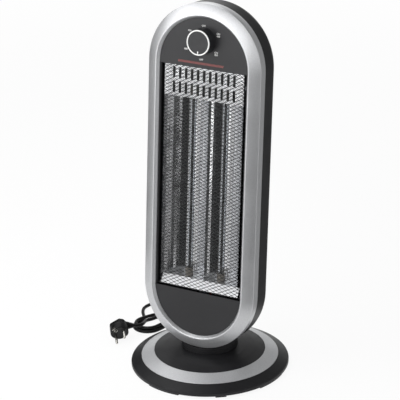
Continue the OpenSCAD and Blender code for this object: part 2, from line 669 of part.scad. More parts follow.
module knob_ring() color([0.93, 0.93, 0.93]) on_head() translate([0, 0, knob_z]) rotate([90, 0, 0])
    translate([0, 0, -knob_front - 1.4 + run]) rotate_extrude($fn = 96)
        polygon([[knob_r - 2, 0], [knob_r + 0.2, 0], [knob_r + 0.2, 1.3], [knob_r - 0.3, 1.9],
            [knob_r - 1.5, 1.9], [knob_r - 2, 1.4]]);

module knob_marker() color([0.95, 0.95, 0.95]) on_head() translate([0, 0, knob_z]) rotate([90, 0, 0])
    translate([-0.8, -knob_r + 2.5, -knob_front - 0.7]) cube([1.6, 4.2, 1.2]);

module casing_screws() color([0.6, 0.6, 0.62]) on_head() for (p = boss_places) {
    bar_d(p, head_r, case_d - 8 + run, case_d - 6);
    bar_d(p, screw_r - 0.2 - run, 16, case_d - 7.5);
}

module tray_screws() color([0.6, 0.6, 0.62]) on_head() for (p = tray_posts) {
    bar_d(p, head_r, tray_back - 1.8 - run, tray_back - run);
    bar_d(p, screw_r - 0.2 - run, tray_back - 1, case_d - 8);
}

// ---- mains lead ----

gland_z = 9.9;
gland_r = 4.5;
gland_l = 40;
cord_r = cord_d / 2;
exit_y = base_r - 16;

function unit(v) = v / norm(v);
function ring_at(p, t, r, n, up) = let (s = unit(cross(up, t)), u = cross(t, s))
    [for (k = [0:n - 1]) p + r * (cos(360 * k / n) * s + sin(360 * k / n) * u)];
function heading(p, i) = unit(p[min(i + 1, len(p) - 1)] - p[max(i - 1, 0)]);
function curve_at(p, i, t) = let (a = p[max(i - 1, 0)], b = p[i], c = p[i + 1], d = p[min(i + 2, len(p) - 1)])
    0.5 * (2 * b + (c - a) * t + (2 * a - 5 * b + 4 * c - d) * t * t + (3 * b - a - 3 * c + d) * t * t * t);
function eased(p, step) = concat([for (i = [0:len(p) - 2]) let (n = max(1, round(norm(p[i + 1] - p[i]) / step)))
    for (k = [0:n - 1]) curve_at(p, i, k / n)], [p[len(p) - 1]]);
function length_of(p) = [for (i = 0, s = 0; i < len(p); i = i + 1, s = s + (i < len(p) ? norm(p[i] - p[i - 1]) : 0))
    s][len(p) - 1];

module tube_along(p, r, n, up) {
    m = len(p);
    points = [for (i = [0:m - 1]) each ring_at(p[i], heading(p, i), r, n, up)];
    sides = [for (i = [0:m - 2], k = [0:n - 1], h = [0, 1]) let (a = i * n + k, b = i * n + (k + 1) % n)
        h == 0 ? [a, b, b + n] : [a, b + n, a + n]];
    ends = [for (k = [1:n - 2]) each [[0, k + 1, k], [(m - 1) * n, (m - 1) * n + k, (m - 1) * n + k + 1]]];
    polyhedron(points, concat(sides, ends));
}

// the hank: two long loops side by side on the floor, a third lying in the valley between them,
// and a last run over the top, all drawn in at the middle by the tie
hank_turn = 70;
hank_at = [-152.3, 119.3, 0];
hank_step = cord_d + 0.8;
along = [cos(hank_turn), sin(hank_turn), 0];
aside = [-sin(hank_turn), cos(hank_turn), 0];
fold_steps = 8;
run_steps = 4;
loop_steps = 2 * (fold_steps + run_steps);
last_run = 3 * loop_steps;
// how far in from the outer loop, and how far up from the floor, each step lies, in cord steps
hank_inward = [[loop_steps, 0], [loop_steps + 4, 1], [2 * loop_steps, 1], [2 * loop_steps + 1, 1],
    [2 * loop_steps + 2, 0.93], [2 * loop_steps + 3, 0.72], [2 * loop_steps + 4, 0.5], [last_run, 0.5],
    [last_run + 1, 1.5], [last_run + 2, 2.3], [last_run + 3, 2.8]];
hank_upward = [[2 * loop_steps - 4, 0], [2 * loop_steps, 0.43], [2 * loop_steps + 1, 0.72],
    [2 * loop_steps + 2, 0.92], [2 * loop_steps + 3, 0.98], [2 * loop_steps + 4, 0.86], [last_run - 4, 0.86],
    [last_run, 1.5], [last_run + 1, 1.75], [last_run + 2, 1.4], [last_run + 3, 1.25]];
function hank_radius(k) = hank_r - hank_step * lookup(k, hank_inward);
function hank_height(k) = cord_r + 0.7 + hank_step * lookup(k, hank_upward);
function drawn_in(a, r) = r - hank_pinch * (1 + cos(360 * a / hank_run)) / 2;
// place on a loop of radius r: the outer run towards the near fold, the near fold, the inner run, the far fold
function loop_place(k, r) = let (f = k % loop_steps)
    f < run_steps ? let (a = hank_run / 2 - hank_run * f / run_steps) [a, drawn_in(a, r)] :
    f < run_steps + fold_steps ? let (t = 180 * (f - run_steps) / fold_steps)
        [-hank_run / 2 - r * sin(t), r * cos(t)] :
    f < 2 * run_steps + fold_steps ? let (a = -hank_run / 2 + hank_run * (f - run_steps - fold_steps) / run_steps)
        [a, -drawn_in(a, r)] :
    let (t = 180 * (f - 2 * run_steps - fold_steps) / fold_steps) [hank_run / 2 + r * sin(t), -r * cos(t)];
function hank_place(k) = let (q = loop_place(k, hank_radius(k)))
    hank_at + q[0] * along + q[1] * aside + [0, 0, hank_height(k)];
hank_core = [for (k = [run_steps:last_run + 3]) hank_place(k)];
hank_start = hank_core[0];
hank_end = hank_core[len(hank_core) - 1];
hank_in = -along;
hank_out = unit(hank_end - hank_core[len(hank_core) - 2]);
hank_path = concat([hank_start - cord_d * hank_in], hank_core, [hank_end + cord_d * hank_out]);
hank_fine = [for (i = [0:len(hank_core) - 2], t = [0:5]) hank_core[i] + (hank_core[i + 1] - hank_core[i]) * t / 6];
hank_gap = min([for (i = [0:len(hank_fine) - 1], j = [i + 24:1:len(hank_fine) - 1])
    norm(hank_fine[i] - hank_fine[j])]) - cord_d;
echo(hank_gap = hank_gap, hank_length = length_of(hank_path));

plug_at = [-197.6, 11.7, 22.7];
plug_turn = 37.5;
plug_drop = 23;
plug_roll = -4;
plug_face = 18;
plug_r = 16.6;
relief_l = 27;
plug_side = [cos(plug_turn) * cos(plug_roll) + sin(plug_turn) * sin(plug_roll) * sin(plug_drop),
    sin(plug_turn) * cos(plug_roll) - cos(plug_turn) * sin(plug_roll) * sin(plug_drop),
    sin(plug_roll) * cos(plug_drop)];
plug_nose = [sin(plug_turn) * cos(plug_drop), -cos(plug_turn) * cos(plug_drop), -sin(plug_drop)];

exit_turn = 25;
function from_exit(p) = [p[0] * cos(exit_turn) - p[1] * sin(exit_turn),
    p[0] * sin(exit_turn) + p[1] * cos(exit_turn), p[2]];
function by_hank(a, b, z) = hank_at + a * along + b * aside + [0, 0, z];
cord_z = cord_r + 0.7;
mains_route = [
    from_exit([0, exit_y - 35, gland_z]), from_exit([0, exit_y, gland_z]), from_exit([0, exit_y + 26, gland_z]),
    from_exit([0, exit_y + gland_l + 2, gland_z]), from_exit([-2, exit_y + 62, 6.6]),
    [-100, 217, cord_z + 0.2], [-130, 229, cord_z], [-161, 222, cord_z],
    [-187, 199, cord_z], [-204, 170, cord_z], [-214, 148, cord_z], [-215.5, 133, cord_z], [-210.5, 119, cord_z],
    [-203.5, 108.5, cord_z], [-197, 100.5, cord_z], by_hank(-37, hank_r + 3.4, cord_z),
    by_hank(-41.5, hank_r + 0.8, cord_z)];
mains_path = concat(eased(mains_route, 2.5 * cord_d), [hank_start - 1.1 * cord_d * hank_in]);
lead_route = [hank_end + 1.05 * cord_d * hank_out, hank_end + 2 * cord_d * hank_out,
    [-173.5, 70, 13.6], [-170.6, 58, 15.9], [-167.6, 46, 18],
    plug_at + (relief_l + 6) * plug_side - [0, 0, 0.5],
    plug_at + relief_l * plug_side, plug_at + (relief_l - 12) * plug_side];
lead_path = eased(lead_route, 2.5 * cord_d);
echo(mains_length = length_of(mains_path), lead_length = length_of(lead_path), rings = len(mains_path));

module mains_cord() color([0.07, 0.07, 0.07]) tube_along(mains_path, cord_r, 8, [0, 0, 1]);
module cord_hank() color([0.07, 0.07, 0.07]) tube_along(hank_path, cord_r, 6, [0, 0, 1]);
module plug_lead() color([0.07, 0.07, 0.07]) tube_along(lead_path, cord_r, 8, [0, 0, 1]);

module cord_tie() color([0.15, 0.15, 0.15]) translate(hank_at) rotate([0, 0, hank_turn]) difference() {
    w = hank_r - hank_pinch + cord_r + 1.2;
    translate([-4, -w - 0.6, 0.05]) cube([8, 2 * w + 1.2, hank_height(last_run + 2) + cord_r + 1]);
    translate([-5, -w, 0.55]) cube([10, 2 * w, hank_height(last_run + 2) + cord_r]);
}

module cord_gland() color([0.08, 0.08, 0.08]) rotate([0, 0, exit_turn]) translate([0, exit_y, gland_z]) rotate([-90, 0, 0]) difference() {
    union() {
        cylinder(h = 14, r = gland_r);
        translate([0, 0, 14 - eps]) cylinder(h = gland_l - 14, r1 = gland_r, r2 = cord_r + 0.9);
    }
    translate([0, 0, -1]) cylinder(h = gland_l + 2, r = cord_r + gap);
}

module cord_clamp() color([0.3, 0.3, 0.32]) rotate([0, 0, exit_turn]) difference() {
    translate([-12, exit_y - 32, floor_z + run]) cube([24, 9, gland_z + cord_r + 3 - floor_z]);
    translate([0, exit_y - 36, gland_z]) rotate([-90, 0, 0]) cylinder(h = 30, r = cord_r + 0.1);
}

module on_plug() translate(plug_at) rotate([90 + plug_drop, 0, plug_turn]) rotate([0, 0, plug_roll]) children();
pin_turn = 48;

module plug_body() color([0.12, 0.12, 0.13]) on_plug() difference() {
    union() {
        translate([0, 0, -3]) cylinder(h = plug_face + 3, r = plug_r);
        translate([0, 0, -8]) cylinder(h = 5 + eps, r1 = plug_r - 5, r2 = plug_r);
        rotate([0, 90, 0]) cylinder(h = 20, r1 = 7.6, r2 = 6.2);
        rotate([0, 90, 0]) translate([0, 0, 20 - eps]) cylinder(h = relief_l - 20, r1 = 6.2, r2 = 4.6);
    }
    rotate([0, 90, 0]) translate([0, 0, relief_l - 13]) cylinder(h = 20, r = cord_r + 0.1);
    rotate([0, 0, pin_turn]) for (s = [-1, 1]) translate([s * 9.5, 0, plug_face - 8]) cylinder(h = 20, r = 2.4 + run);
    rotate([0, 0, pin_turn]) for (s = [-1, 1]) translate([-4, s * (plug_r - 1) - 1.6, plug_face - 6])
        cube([8, 3.2, 20]);
}

module plug_pins() color([0.78, 0.78, 0.8]) on_plug() rotate([0, 0, pin_turn]) for (s = [-1, 1])
    translate([s * 9.5, 0, plug_face - 7.8]) {
        cylinder(h = 25.4, r = 2.4);
        translate([0, 0, 25.4 - eps]) cylinder(h = 1.4, r1 = 2.4, r2 = 1.4);
    }

module plug_earth_clips() color([0.78, 0.78, 0.8]) on_plug() rotate([0, 0, pin_turn]) for (s = [-1, 1])
    translate([-3.6, s * (plug_r - 1.2) - 0.6, plug_face - 5.8]) cube([7.2, 1.2, 5.4]);

base_plate();
base_cover();
base_trim_ring();
base_weight();
long_feet();
short_feet();
base_screws();
bearing_washer();
swing_motor();
motor_screws();
crank_disc();
tip_switch();
tip_plunger();
tip_spring();
cord_gland();
cord_clamp();
neck();
swing_arm();
arm_screws();
neck_bracket();
bracket_screws();
rear_casing();
front_bezel();
front_frame();
guard_grille();
heater_tray();
main_mirror();
upper_mirror_plate();
lower_mirror_plate();
quartz_tubes();
carbon_elements();
lower_caps();
upper_caps();
terminal_block();
thermal_cutout();
inner_wires();
rotary_switch();
switch_nut();
switch_shaft();
control_knob();
knob_ring();
knob_marker();
casing_screws();
tray_screws();
mains_cord();
cord_hank();
plug_lead();
cord_tie();
plug_body();
plug_pins();
plug_earth_clips();
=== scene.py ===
import math

import bmesh
import bpy
from mathutils import Matrix, Vector


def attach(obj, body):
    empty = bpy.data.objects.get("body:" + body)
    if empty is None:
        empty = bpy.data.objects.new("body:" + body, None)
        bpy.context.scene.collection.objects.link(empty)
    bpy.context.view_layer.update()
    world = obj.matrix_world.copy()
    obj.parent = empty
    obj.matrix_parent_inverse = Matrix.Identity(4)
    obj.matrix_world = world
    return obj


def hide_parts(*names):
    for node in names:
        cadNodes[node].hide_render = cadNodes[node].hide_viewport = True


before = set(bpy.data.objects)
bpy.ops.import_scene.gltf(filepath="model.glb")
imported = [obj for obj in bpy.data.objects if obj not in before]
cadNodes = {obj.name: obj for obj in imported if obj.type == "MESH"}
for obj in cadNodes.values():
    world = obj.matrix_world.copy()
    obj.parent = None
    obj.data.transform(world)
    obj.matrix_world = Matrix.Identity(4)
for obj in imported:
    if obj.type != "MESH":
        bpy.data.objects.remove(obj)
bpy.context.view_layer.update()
print("frame loaded:", len(cadNodes), "parts")

mm = 0.001

# camera: well back with a long lens, a degree and a half out of level
cameraWants = {"place": (1.64587, -2.87164, 1.68004), "round": 30.0, "above": 22.454, "roll": -1.516,
    "lens": 186.85, "sensor": 36.0, "near": 0.1, "far": 50.0}


def makeCamera(wants):
    a, e, r = (math.radians(wants[key]) for key in ("round", "above", "roll"))
    back = Vector((math.sin(a) * math.cos(e), -math.cos(a) * math.cos(e), math.sin(e)))
    level = Vector((math.cos(a), math.sin(a), 0))
    rise = back.cross(level)
    right = level * math.cos(r) + rise * math.sin(r)
    up = rise * math.cos(r) - level * math.sin(r)
    bpy.ops.object.camera_add(location=wants["place"])
    camera = bpy.context.object
    camera.name = "photoCamera"
    turn = Matrix((right, up, back)).transposed().to_4x4()
    camera.matrix_world = Matrix.Translation(wants["place"]) @ turn
    camera.data.lens = wants["lens"]
    camera.data.sensor_width = wants["sensor"]
    camera.data.clip_start = wants["near"]
    camera.data.clip_end = wants["far"]
    bpy.context.scene.camera = camera


makeCamera(cameraWants)
print("camera set")

# the head's own frame: x across, y the depth behind the rim, z the height along the head, which leans back
headWants = {"lean": 5.8, "ahead": 60.0}
headPlace = (Matrix.Translation((0, -headWants["ahead"] * mm, 0))
    @ Matrix.Rotation(math.radians(-headWants["lean"]), 4, "X"))


def clearAll():
    if bpy.context.object and bpy.context.object.mode != "OBJECT":
        bpy.ops.object.mode_set(mode="OBJECT")
    bpy.ops.object.select_all(action="DESELECT")


def only(piece):
    clearAll()
    piece.select_set(True)
    bpy.context.view_layer.objects.active = piece


def named(name):
    piece = bpy.context.object
    piece.name = name
    piece.data.name = name
    return piece


def pickFaces(piece, wanted):
    # edit mode with just the faces for which wanted() is true
    bpy.ops.object.mode_set(mode="EDIT")
    bpy.ops.mesh.select_mode(type="FACE")
    bpy.ops.mesh.select_all(action="DESELECT")
    mesh = bmesh.from_edit_mesh(piece.data)
    for face in mesh.faces:
        if wanted(face):
            face.select_set(True)
    mesh.select_flush_mode()
    bmesh.update_edit_mesh(piece.data)


def objectMode():
    bpy.ops.object.mode_set(mode="OBJECT")


def outwards(piece, merge=0.00001):
    # close points merged, loose ones gone, and every face turned outwards
    only(piece)
    bpy.ops.object.mode_set(mode="EDIT")
    bpy.ops.mesh.select_all(action="SELECT")
    bpy.ops.mesh.remove_doubles(threshold=merge)
    bpy.ops.mesh.delete_loose()
    bpy.ops.mesh.select_all(action="SELECT")
    bpy.ops.mesh.normals_make_consistent(inside=False)
    objectMode()


def modify(piece, kind, **wants):
    only(piece)
    modifier = piece.modifiers.new(kind.title(), kind)
    for key, value in wants.items():
        setattr(modifier, key, value)
    bpy.ops.object.modifier_apply(modifier=modifier.name)


def settle(piece, place=None, angle=30.0):
    # the place goes into the mesh, so that the object itself sits at the origin
    only(piece)
    bpy.ops.object.transform_apply(location=True, rotation=True, scale=True)
    if place is not None:
        piece.data.transform(place)
    bpy.ops.object.shade_smooth_by_angle(angle=math.radians(angle))
    piece.data.update()
    return piece


def another(piece, name, place):
    # a copy with its own mesh
    copy = piece.copy()
    copy.data = piece.data.copy()
    copy.name = name
    copy.data.name = name
    copy.data.transform(place)
    bpy.context.scene.collection.objects.link(copy)
    return copy


def join(pieces, name):
    only(pieces[0])
    for piece in pieces:
        piece.select_set(True)
    bpy.ops.object.join()
    return named(name)


def cut(piece, tool, operation="DIFFERENCE"):
    modify(piece, "BOOLEAN", operation=operation, object=tool, solver="EXACT")
    bpy.data.objects.remove(tool)


def block(name, place, size):
    # a box of the given size in millimetres, with the place in its mesh
    clearAll()
    bpy.ops.mesh.primitive_cube_add(size=1, location=(0, 0, 0))
    piece = named(name)
    piece.data.transform(place @ Matrix.Diagonal((*(side * mm for side in size), 1)))
    return piece


def drill(piece, name, place, radius, deep, sides):
    # a round hole along the place's own Z
    clearAll()
    bpy.ops.mesh.primitive_cylinder_add(vertices=sides, radius=radius * mm, depth=deep * mm)
    hole = named(name)
    hole.data.transform(place)
    cut(piece, hole)


def rounded(corners, steps=4):
    # a section of (across, along, radius) corners, in millimetres, with an arc wherever a radius is given
    places = []
    for i, (across, along, radius) in enumerate(corners):
        here = Vector((across, along))
        if not radius:
            places.append(here)
            continue
        before = (Vector(corners[i - 1][:2]) - here).normalized()
        after = (Vector(corners[(i + 1) % len(corners)][:2]) - here).normalized()
        half = before.angle(after) / 2
        reach, turn = radius / math.tan(half), math.pi - 2 * half
        middle = here + (before + after).normalized() * radius / math.sin(half)
        a, b = here + before * reach - middle, here + after * reach - middle
        for k in range(steps + 1):
            t = k / steps * turn
            places.append(middle + (a * math.sin(turn - t) + b * math.sin(t)) / math.sin(turn))
    return places


def closedLoop(name, places):
    # a loop of edges: a circle whose points are moved to the places, left in edit mode with all selected
    clearAll()
    bpy.ops.mesh.primitive_circle_add(vertices=len(places), radius=0.01)
    piece = named(name)
    for point, place in zip(piece.data.vertices, places):
        point.co = Vector(place) * mm
    bpy.ops.object.mode_set(mode="EDIT")
    bpy.ops.mesh.select_all(action="SELECT")
    return piece


def turned(name, corners, sides=32, steps=3):
    # a closed section of (radius, height, rounding) corners spun about Z
    piece = closedLoop(name, [(r, 0, z) for r, z in rounded(corners, steps)])
    bpy.ops.mesh.spin(steps=sides, angle=math.tau, center=(0, 0, 0), axis=(0, 0, 1))
    objectMode()
    outwards(piece)
    return piece


# mains lead: millimetres, the middle of the lead as it lies on the floor
leadWants = {"thick": 6.2, "onFloor": 3.8, "exitTurn": 25.0, "exitHeight": 9.9, "exitOut": 124.0,
    "pathStep": 2.5,
    "bow": [(-130, 229), (-161, 222), (-187, 199), (-204, 170), (-214, 148), (-215.5, 133), (-210.5, 119),
        (-203.5, 108.5), (-197, 100.5)],
    "rise": [(-173.5, 70, 13.6), (-170.6, 58, 15.9), (-167.6, 46, 18)]}
hankWants = {"middle": (-152.3, 119.3), "turn": 70.0, "run": 104.0, "fold": 26.0, "pinch": 7.0, "step": 7.0,
    "first": 4, "last": 75}
plugWants = {"place": (-197.6, 11.7, 22.7), "turn": 37.5, "drop": 23.0, "roll": -4.0, "face": 18.0,
    "relief": 27.0, "radius": 16.6, "pinTurn": 48.0, "pinAside": 9.5, "earthUp": 10.0}

# how far in and how far up the hank's turns lie, as (step along the hank, layers)
hankInward = [(24, 0), (28, 1), (48, 1), (49, 1), (50, 0.93), (51, 0.72), (52, 0.5), (72, 0.5), (73, 1.5),
    (74, 2.3), (75, 2.8)]
hankUpward = [(44, 0), (48, 0.43), (49, 0.72), (50, 0.92), (51, 0.98), (52, 0.86), (68, 0.86), (72, 1.5),
    (73, 1.75), (74, 1.4), (75, 1.25)]


def between(k, table):
    # the table's value at k, in a straight line from entry to entry
    if k <= table[0][0]:
        return table[0][1]
    for (k0, v0), (k1, v1) in zip(table, table[1:]):
        if k <= k1:
            return v0 + (v1 - v0) * (k - k0) / (k1 - k0)
    return table[-1][1]


def onHank(a, b, z):
    # a along the hank and b across it
    t = math.radians(hankWants["turn"])
    x, y = hankWants["middle"]
    return Vector((x + a * math.cos(t) - b * math.sin(t), y + a * math.sin(t) + b * math.cos(t), z))


def hankPoint(k):
    # a loop is 24 steps: run, fold at the near end, run back, fold at the far end
    r = hankWants["fold"] - hankWants["step"] * between(k, hankInward)
    z = leadWants["onFloor"] + hankWants["step"] * between(k, hankUpward)
    half, f = hankWants["run"] / 2, k % 24

    def drawn(a):
        return r - hankWants["pinch"] * (1 + math.cos(2 * math.pi * a / hankWants["run"])) / 2

    if f < 4:
        a = half - hankWants["run"] * f / 4
        return onHank(a, drawn(a), z)
    if f < 12:
        t = math.pi * (f - 4) / 8
        return onHank(-half - r * math.sin(t), r * math.cos(t), z)
    if f < 16:
        a = -half + hankWants["run"] * (f - 12) / 4
        return onHank(a, -drawn(a), z)
    t = math.pi * (f - 16) / 8
    return onHank(half + r * math.sin(t), -r * math.cos(t), z)


def fromExit(across, out, z):
    # out from the base's axis the way the lead leaves it, and across that
    t = math.radians(leadWants["exitTurn"])
    return Vector((across * math.cos(t) - out * math.sin(t), across * math.sin(t) + out * math.cos(t), z))


plugPlace = (Matrix.Translation(Vector(plugWants["place"]) * mm)
    @ Matrix.Rotation(math.radians(plugWants["turn"]), 4, "Z")
    @ Matrix.Rotation(math.radians(90 + plugWants["drop"]), 4, "X")
    @ Matrix.Rotation(math.radians(plugWants["roll"]), 4, "Z"))


def leadPoints():
    # out of the base and down, in a bow over the floor, round the hank by half steps, and up to the plug
    low, up, thick = leadWants["onFloor"], leadWants["exitHeight"], leadWants["thick"]
    first, last, fold = hankWants["first"], hankWants["last"], hankWants["fold"]
    run = [fromExit(0, out, up) for out in (96, 110, leadWants["exitOut"], 150, 166)]
    run += [fromExit(-2, 186, 6.6), Vector((-100, 217, low + 0.2))]
    run += [Vector((x, y, low)) for x, y in leadWants["bow"]]
    run += [onHank(-37, fold + 3.4, low), onHank(-41.5, fold + 0.8, low)]
    start = hankPoint(first)
    run.append(start - (start - hankPoint(first - 0.3)).normalized())
    hank = [hankPoint(first + k / 2) for k in range(1, 2 * (last - first) + 1)]
    end = hank[-1]
    out = (end - hankPoint(last - 1)).normalized()
    side = (plugPlace.to_3x3() @ Vector((1, 0, 0))).normalized()
    plug = Vector(plugWants["place"])
    relief = plugWants["relief"]
    tail = [end + out * 1.05 * thick, end + out * 2 * thick]
    tail += [Vector(place) for place in leadWants["rise"]]
    tail += [plug + side * (relief + 6) - Vector((0, 0, 0.5))]
    tail += [plug + side * relief, plug + side * (relief - 12)]
    return [p * mm for p in run + hank + tail]


def smoothPath(points, step):
    # through every point, with the spacing taken into account, so that it doesn't swing out at close points
    path = []
    for i in range(len(points) - 1):
        b, c = points[i], points[i + 1]
        a = points[i - 1] if i else b - (c - b)
        d = points[i + 2] if i + 2 < len(points) else c + (c - b)
        k0, k1, k2 = ((q - p).length ** 0.5 for p, q in ((a, b), (b, c), (c, d)))
        m1 = (c - b) + k1 * ((b - a) / k0 - (c - a) / (k0 + k1))
        m2 = (c - b) + k1 * ((d - c) / k2 - (d - b) / (k1 + k2))
        count = max(1, round((c - b).length / step))
        for j in range(count):
            t = j / count
            path.append(b * (2 * t ** 3 - 3 * t * t + 1) + m1 * (t ** 3 - 2 * t * t + t)
                + c * (3 * t * t - 2 * t ** 3) + m2 * (t ** 3 - t * t))
    return path + [points[-1]]


def tube(name, path, radius, sides=4):
    # a round lead along the path, closed at both ends
    line = bpy.data.curves.new(name, "CURVE")
    line.dimensions = "3D"
    line.bevel_depth = radius
    line.bevel_resolution = sides
    line.use_fill_caps = True
    spline = line.splines.new("POLY")
    spline.points.add(len(path) - 1)
    for point, place in zip(spline.points, path):
        point.co = (*place, 1)
    piece = bpy.data.objects.new(name, line)
    bpy.context.scene.collection.objects.link(piece)
    only(piece)
    bpy.ops.object.convert(target="MESH")
    piece = named(name)
    return settle(piece, angle=50.0)


leadPath = smoothPath(leadPoints(), leadWants["pathStep"] * mm)
leadLong = sum((q - p).length for p, q in zip(leadPath, leadPath[1:]))
lead = tube("mainsLead", leadPath, leadWants["thick"] * mm / 2)
print("lead: %.3f m" % leadLong)

# guard: an expanded steel net, its strands twisted a little so that they face up, sides folded back
netWants = {"wide": 12.0, "high": 6.3, "strand": 1.7, "thick": 0.55, "half": 77.5, "low": 158.0, "top": 553.6,
    "depth": 7.0, "fold": 3.2, "wrap": 10.0, "tilt": 0.22}


def makeNet(wants):
    # a grid turned by 45 degrees and stretched, so that its squares become diamonds of one cell, with some to
    # spare that are cut off; its edges become strands, and its sides are bent back
    cellW, cellH = wants["wide"] * mm, wants["high"] * mm
    half = (wants["half"] - wants["fold"] + wants["fold"] * math.pi / 2 + wants["wrap"]) * mm
    low, top = wants["low"] * mm, wants["top"] * mm
    count = int(2 * half / cellW + (top - low) / cellH) + 4
    clearAll()
    side = count * math.sqrt(0.5)
    bpy.ops.mesh.primitive_grid_add(x_subdivisions=count, y_subdivisions=count, size=side)
    net = named("guardNet")
    net.data.transform(Matrix.Rotation(math.radians(45), 4, "Z"))
    net.data.transform(Matrix.Diagonal((cellW, cellH, 1, 1)))
    bpy.ops.object.mode_set(mode="EDIT")
    middle = (low + top) / 2
    for at, way in (((half, 0, 0), (1, 0, 0)), ((-half, 0, 0), (-1, 0, 0)), ((0, top - middle, 0), (0, 1, 0)),
            ((0, low - middle, 0), (0, -1, 0))):
        bpy.ops.mesh.select_all(action="SELECT")
        bpy.ops.mesh.bisect(plane_co=at, plane_no=way, clear_outer=True)
    objectMode()
    modify(net, "WIREFRAME", thickness=wants["strand"] * mm, use_even_offset=False, use_boundary=True)
    bend, flat = wants["fold"] * mm, (wants["half"] - wants["fold"]) * mm
    arc = bend * math.pi / 2
    for point in net.data.vertices:
        x, y, z = point.co
        # each point leans about the centre of its cell, like a slat
        u, v = x / cellW, y / cellH
        best = min(((round(u), round(v)), (math.floor(u) + 0.5, math.floor(v) + 0.5)),
            key=lambda c: abs(u - c[0]) + abs(v - c[1]))
        depth = z * wants["thick"] / wants["strand"] + (v - best[1]) * cellH * wants["tilt"]
        out = abs(x) - flat
        if out <= 0:
            place = (x, depth, y)
        elif out <= arc:
            t, reach = out / bend, bend - depth
            place = (math.copysign(flat + reach * math.sin(t), x), bend - reach * math.cos(t), y)
        else:
            place = (math.copysign(flat + bend - depth, x), bend + out - arc, y)
        point.co = (place[0], wants["depth"] * mm + place[1], middle + place[2])
    outwards(net)
    return settle(net, headPlace, angle=40.0)


net = makeNet(netWants)
print("guard:", len(net.data.polygons), "faces")

# rim: the silver moulding round the face, with a crest, a broad slope outwards and a short side
rimWants = {"low": 159.4, "high": 556.4, "steps": 64,
    "section": [(84.6, 5.0, 0.4), (88.7, -0.9, 2.2), (108.4, 9.35, 1.5), (108.0, 26.2, 0.9),
        (105.8, 26.2, 0.4), (106.2, 10.9, 0), (89.4, 2.9, 0), (86.8, 6.0, 0), (86.8, 8.0, 0),
        (84.6, 8.0, 0.3)]}


def makeRim(wants):
    # the section goes round the lower end, up one side, round the upper end and down the other side
    low, high = wants["low"] * mm, wants["high"] * mm
    rim = closedLoop("rimMoulding", [(r, d, wants["low"]) for r, d in rounded(wants["section"])])
    bpy.ops.mesh.spin(steps=wants["steps"], angle=-math.pi, center=(0, 0, low), axis=(0, 1, 0))
    bpy.ops.mesh.extrude_region_move(TRANSFORM_OT_translate={"value": (0, 0, high - low)})
    bpy.ops.mesh.spin(steps=wants["steps"], angle=-math.pi, center=(0, 0, high), axis=(0, 1, 0))
    bpy.ops.mesh.extrude_region_move(TRANSFORM_OT_translate={"value": (0, 0, low - high)})
    objectMode()
    outwards(rim)
    return settle(rim, headPlace, angle=28.0)


rim = makeRim(rimWants)
print("rim:", len(rim.data.polygons), "faces")

# printing round the knob, and a plain hatched rule above the window: thin ink on the panel's face
inkWants = {"panel": 5.0, "thick": 0.06, "letter": 4.3, "lines": 0.95,
    "marks": [((-0.7, 627.1), "OFF"), ((27.5, 614.9), "ON\n400"), ((24.3, 582.5), "ON\n800"),
        ((-4.0, 568.9), "OFF"), ((-33.7, 583.5), "800"), ((-27.6, 616.1), "400")]}
ruleWants = {"from": -48.0, "to": 38.0, "at": 562.0, "high": 3.8, "dash": 1.25, "pitch": 2.3, "slant": 1.2}


def makeMark(wants, place, words):
    clearAll()
    bpy.ops.object.text_add(rotation=(math.pi / 2, 0, 0))
    mark = bpy.context.object
    mark.data.body = words
    mark.data.size = wants["letter"] * mm
    mark.data.space_line = wants["lines"]
    mark.data.align_x, mark.data.align_y = "CENTER", "CENTER"
    mark.data.extrude = wants["thick"] * mm / 2
    bpy.ops.object.convert(target="MESH")
    bpy.ops.object.transform_apply(location=True, rotation=True, scale=True)
    mark = bpy.context.object
    depth = wants["panel"] - wants["thick"] / 2
    mark.data.transform(Matrix.Translation(Vector((place[0], depth, place[1])) * mm))
    return mark


def makeMarks(wants):
    marks = join([makeMark(wants, place, words) for place, words in wants["marks"]], "dialMarks")
    outwards(marks, merge=0.000001)
    return settle(marks, headPlace, angle=20.0)


def makeRule(wants, ink):
    # one slanted dash, copied along the rule
    dash = block("ruleDash", Matrix(), (wants["dash"], ink["thick"], wants["high"]))
    pickFaces(dash, lambda face: face.normal.z > 0.9)
    bpy.ops.transform.translate(value=(wants["slant"] * mm, 0, 0))
    objectMode()
    count = int((wants["to"] - wants["from"]) / wants["pitch"])
    depth = ink["panel"] - ink["thick"] / 2
    places = [Matrix.Translation(Vector((wants["from"] + wants["pitch"] * k, depth, wants["at"])) * mm)
        for k in range(count + 1)]
    rule = join([another(dash, "ruleDash", place) for place in places], "hatchedRule")
    bpy.data.objects.remove(dash)
    outwards(rule, merge=0.000001)
    return settle(rule, headPlace, angle=20.0)


marks = makeMarks(inkWants)
rule = makeRule(ruleWants, inkWants)
print("printing made")

# plug: two pins down, a round nose, a back with flat planes, and the lead's ribbed sleeve out of its side
plugBodyWants = {"back": -8.0, "shoulder": -3.0, "nose": 5.0, "backScale": 0.72, "backShift": 1.5,
    "planes": [(-16.1, -3.4), (-16.1, 3.4), (-1.0, 16.2), (9.0, 13.8), (15.6, 5.6), (15.6, -5.6),
        (9.0, -13.8), (-1.0, -16.2)], "bevel": 0.9,
    "sleeve": [(0, 6, 0), (8.0, 6, 0), (8.0, 13.0, 0.3), (7.4, 15.0, 0.2), (7.0, 18.0, 0.2)],
    "ribs": 4, "ribSlim": 0.45, "slot": (8.0, 3.2, 20.0), "pinHole": (2.6, 20.0), "earthHole": (3.4, 24.0)}


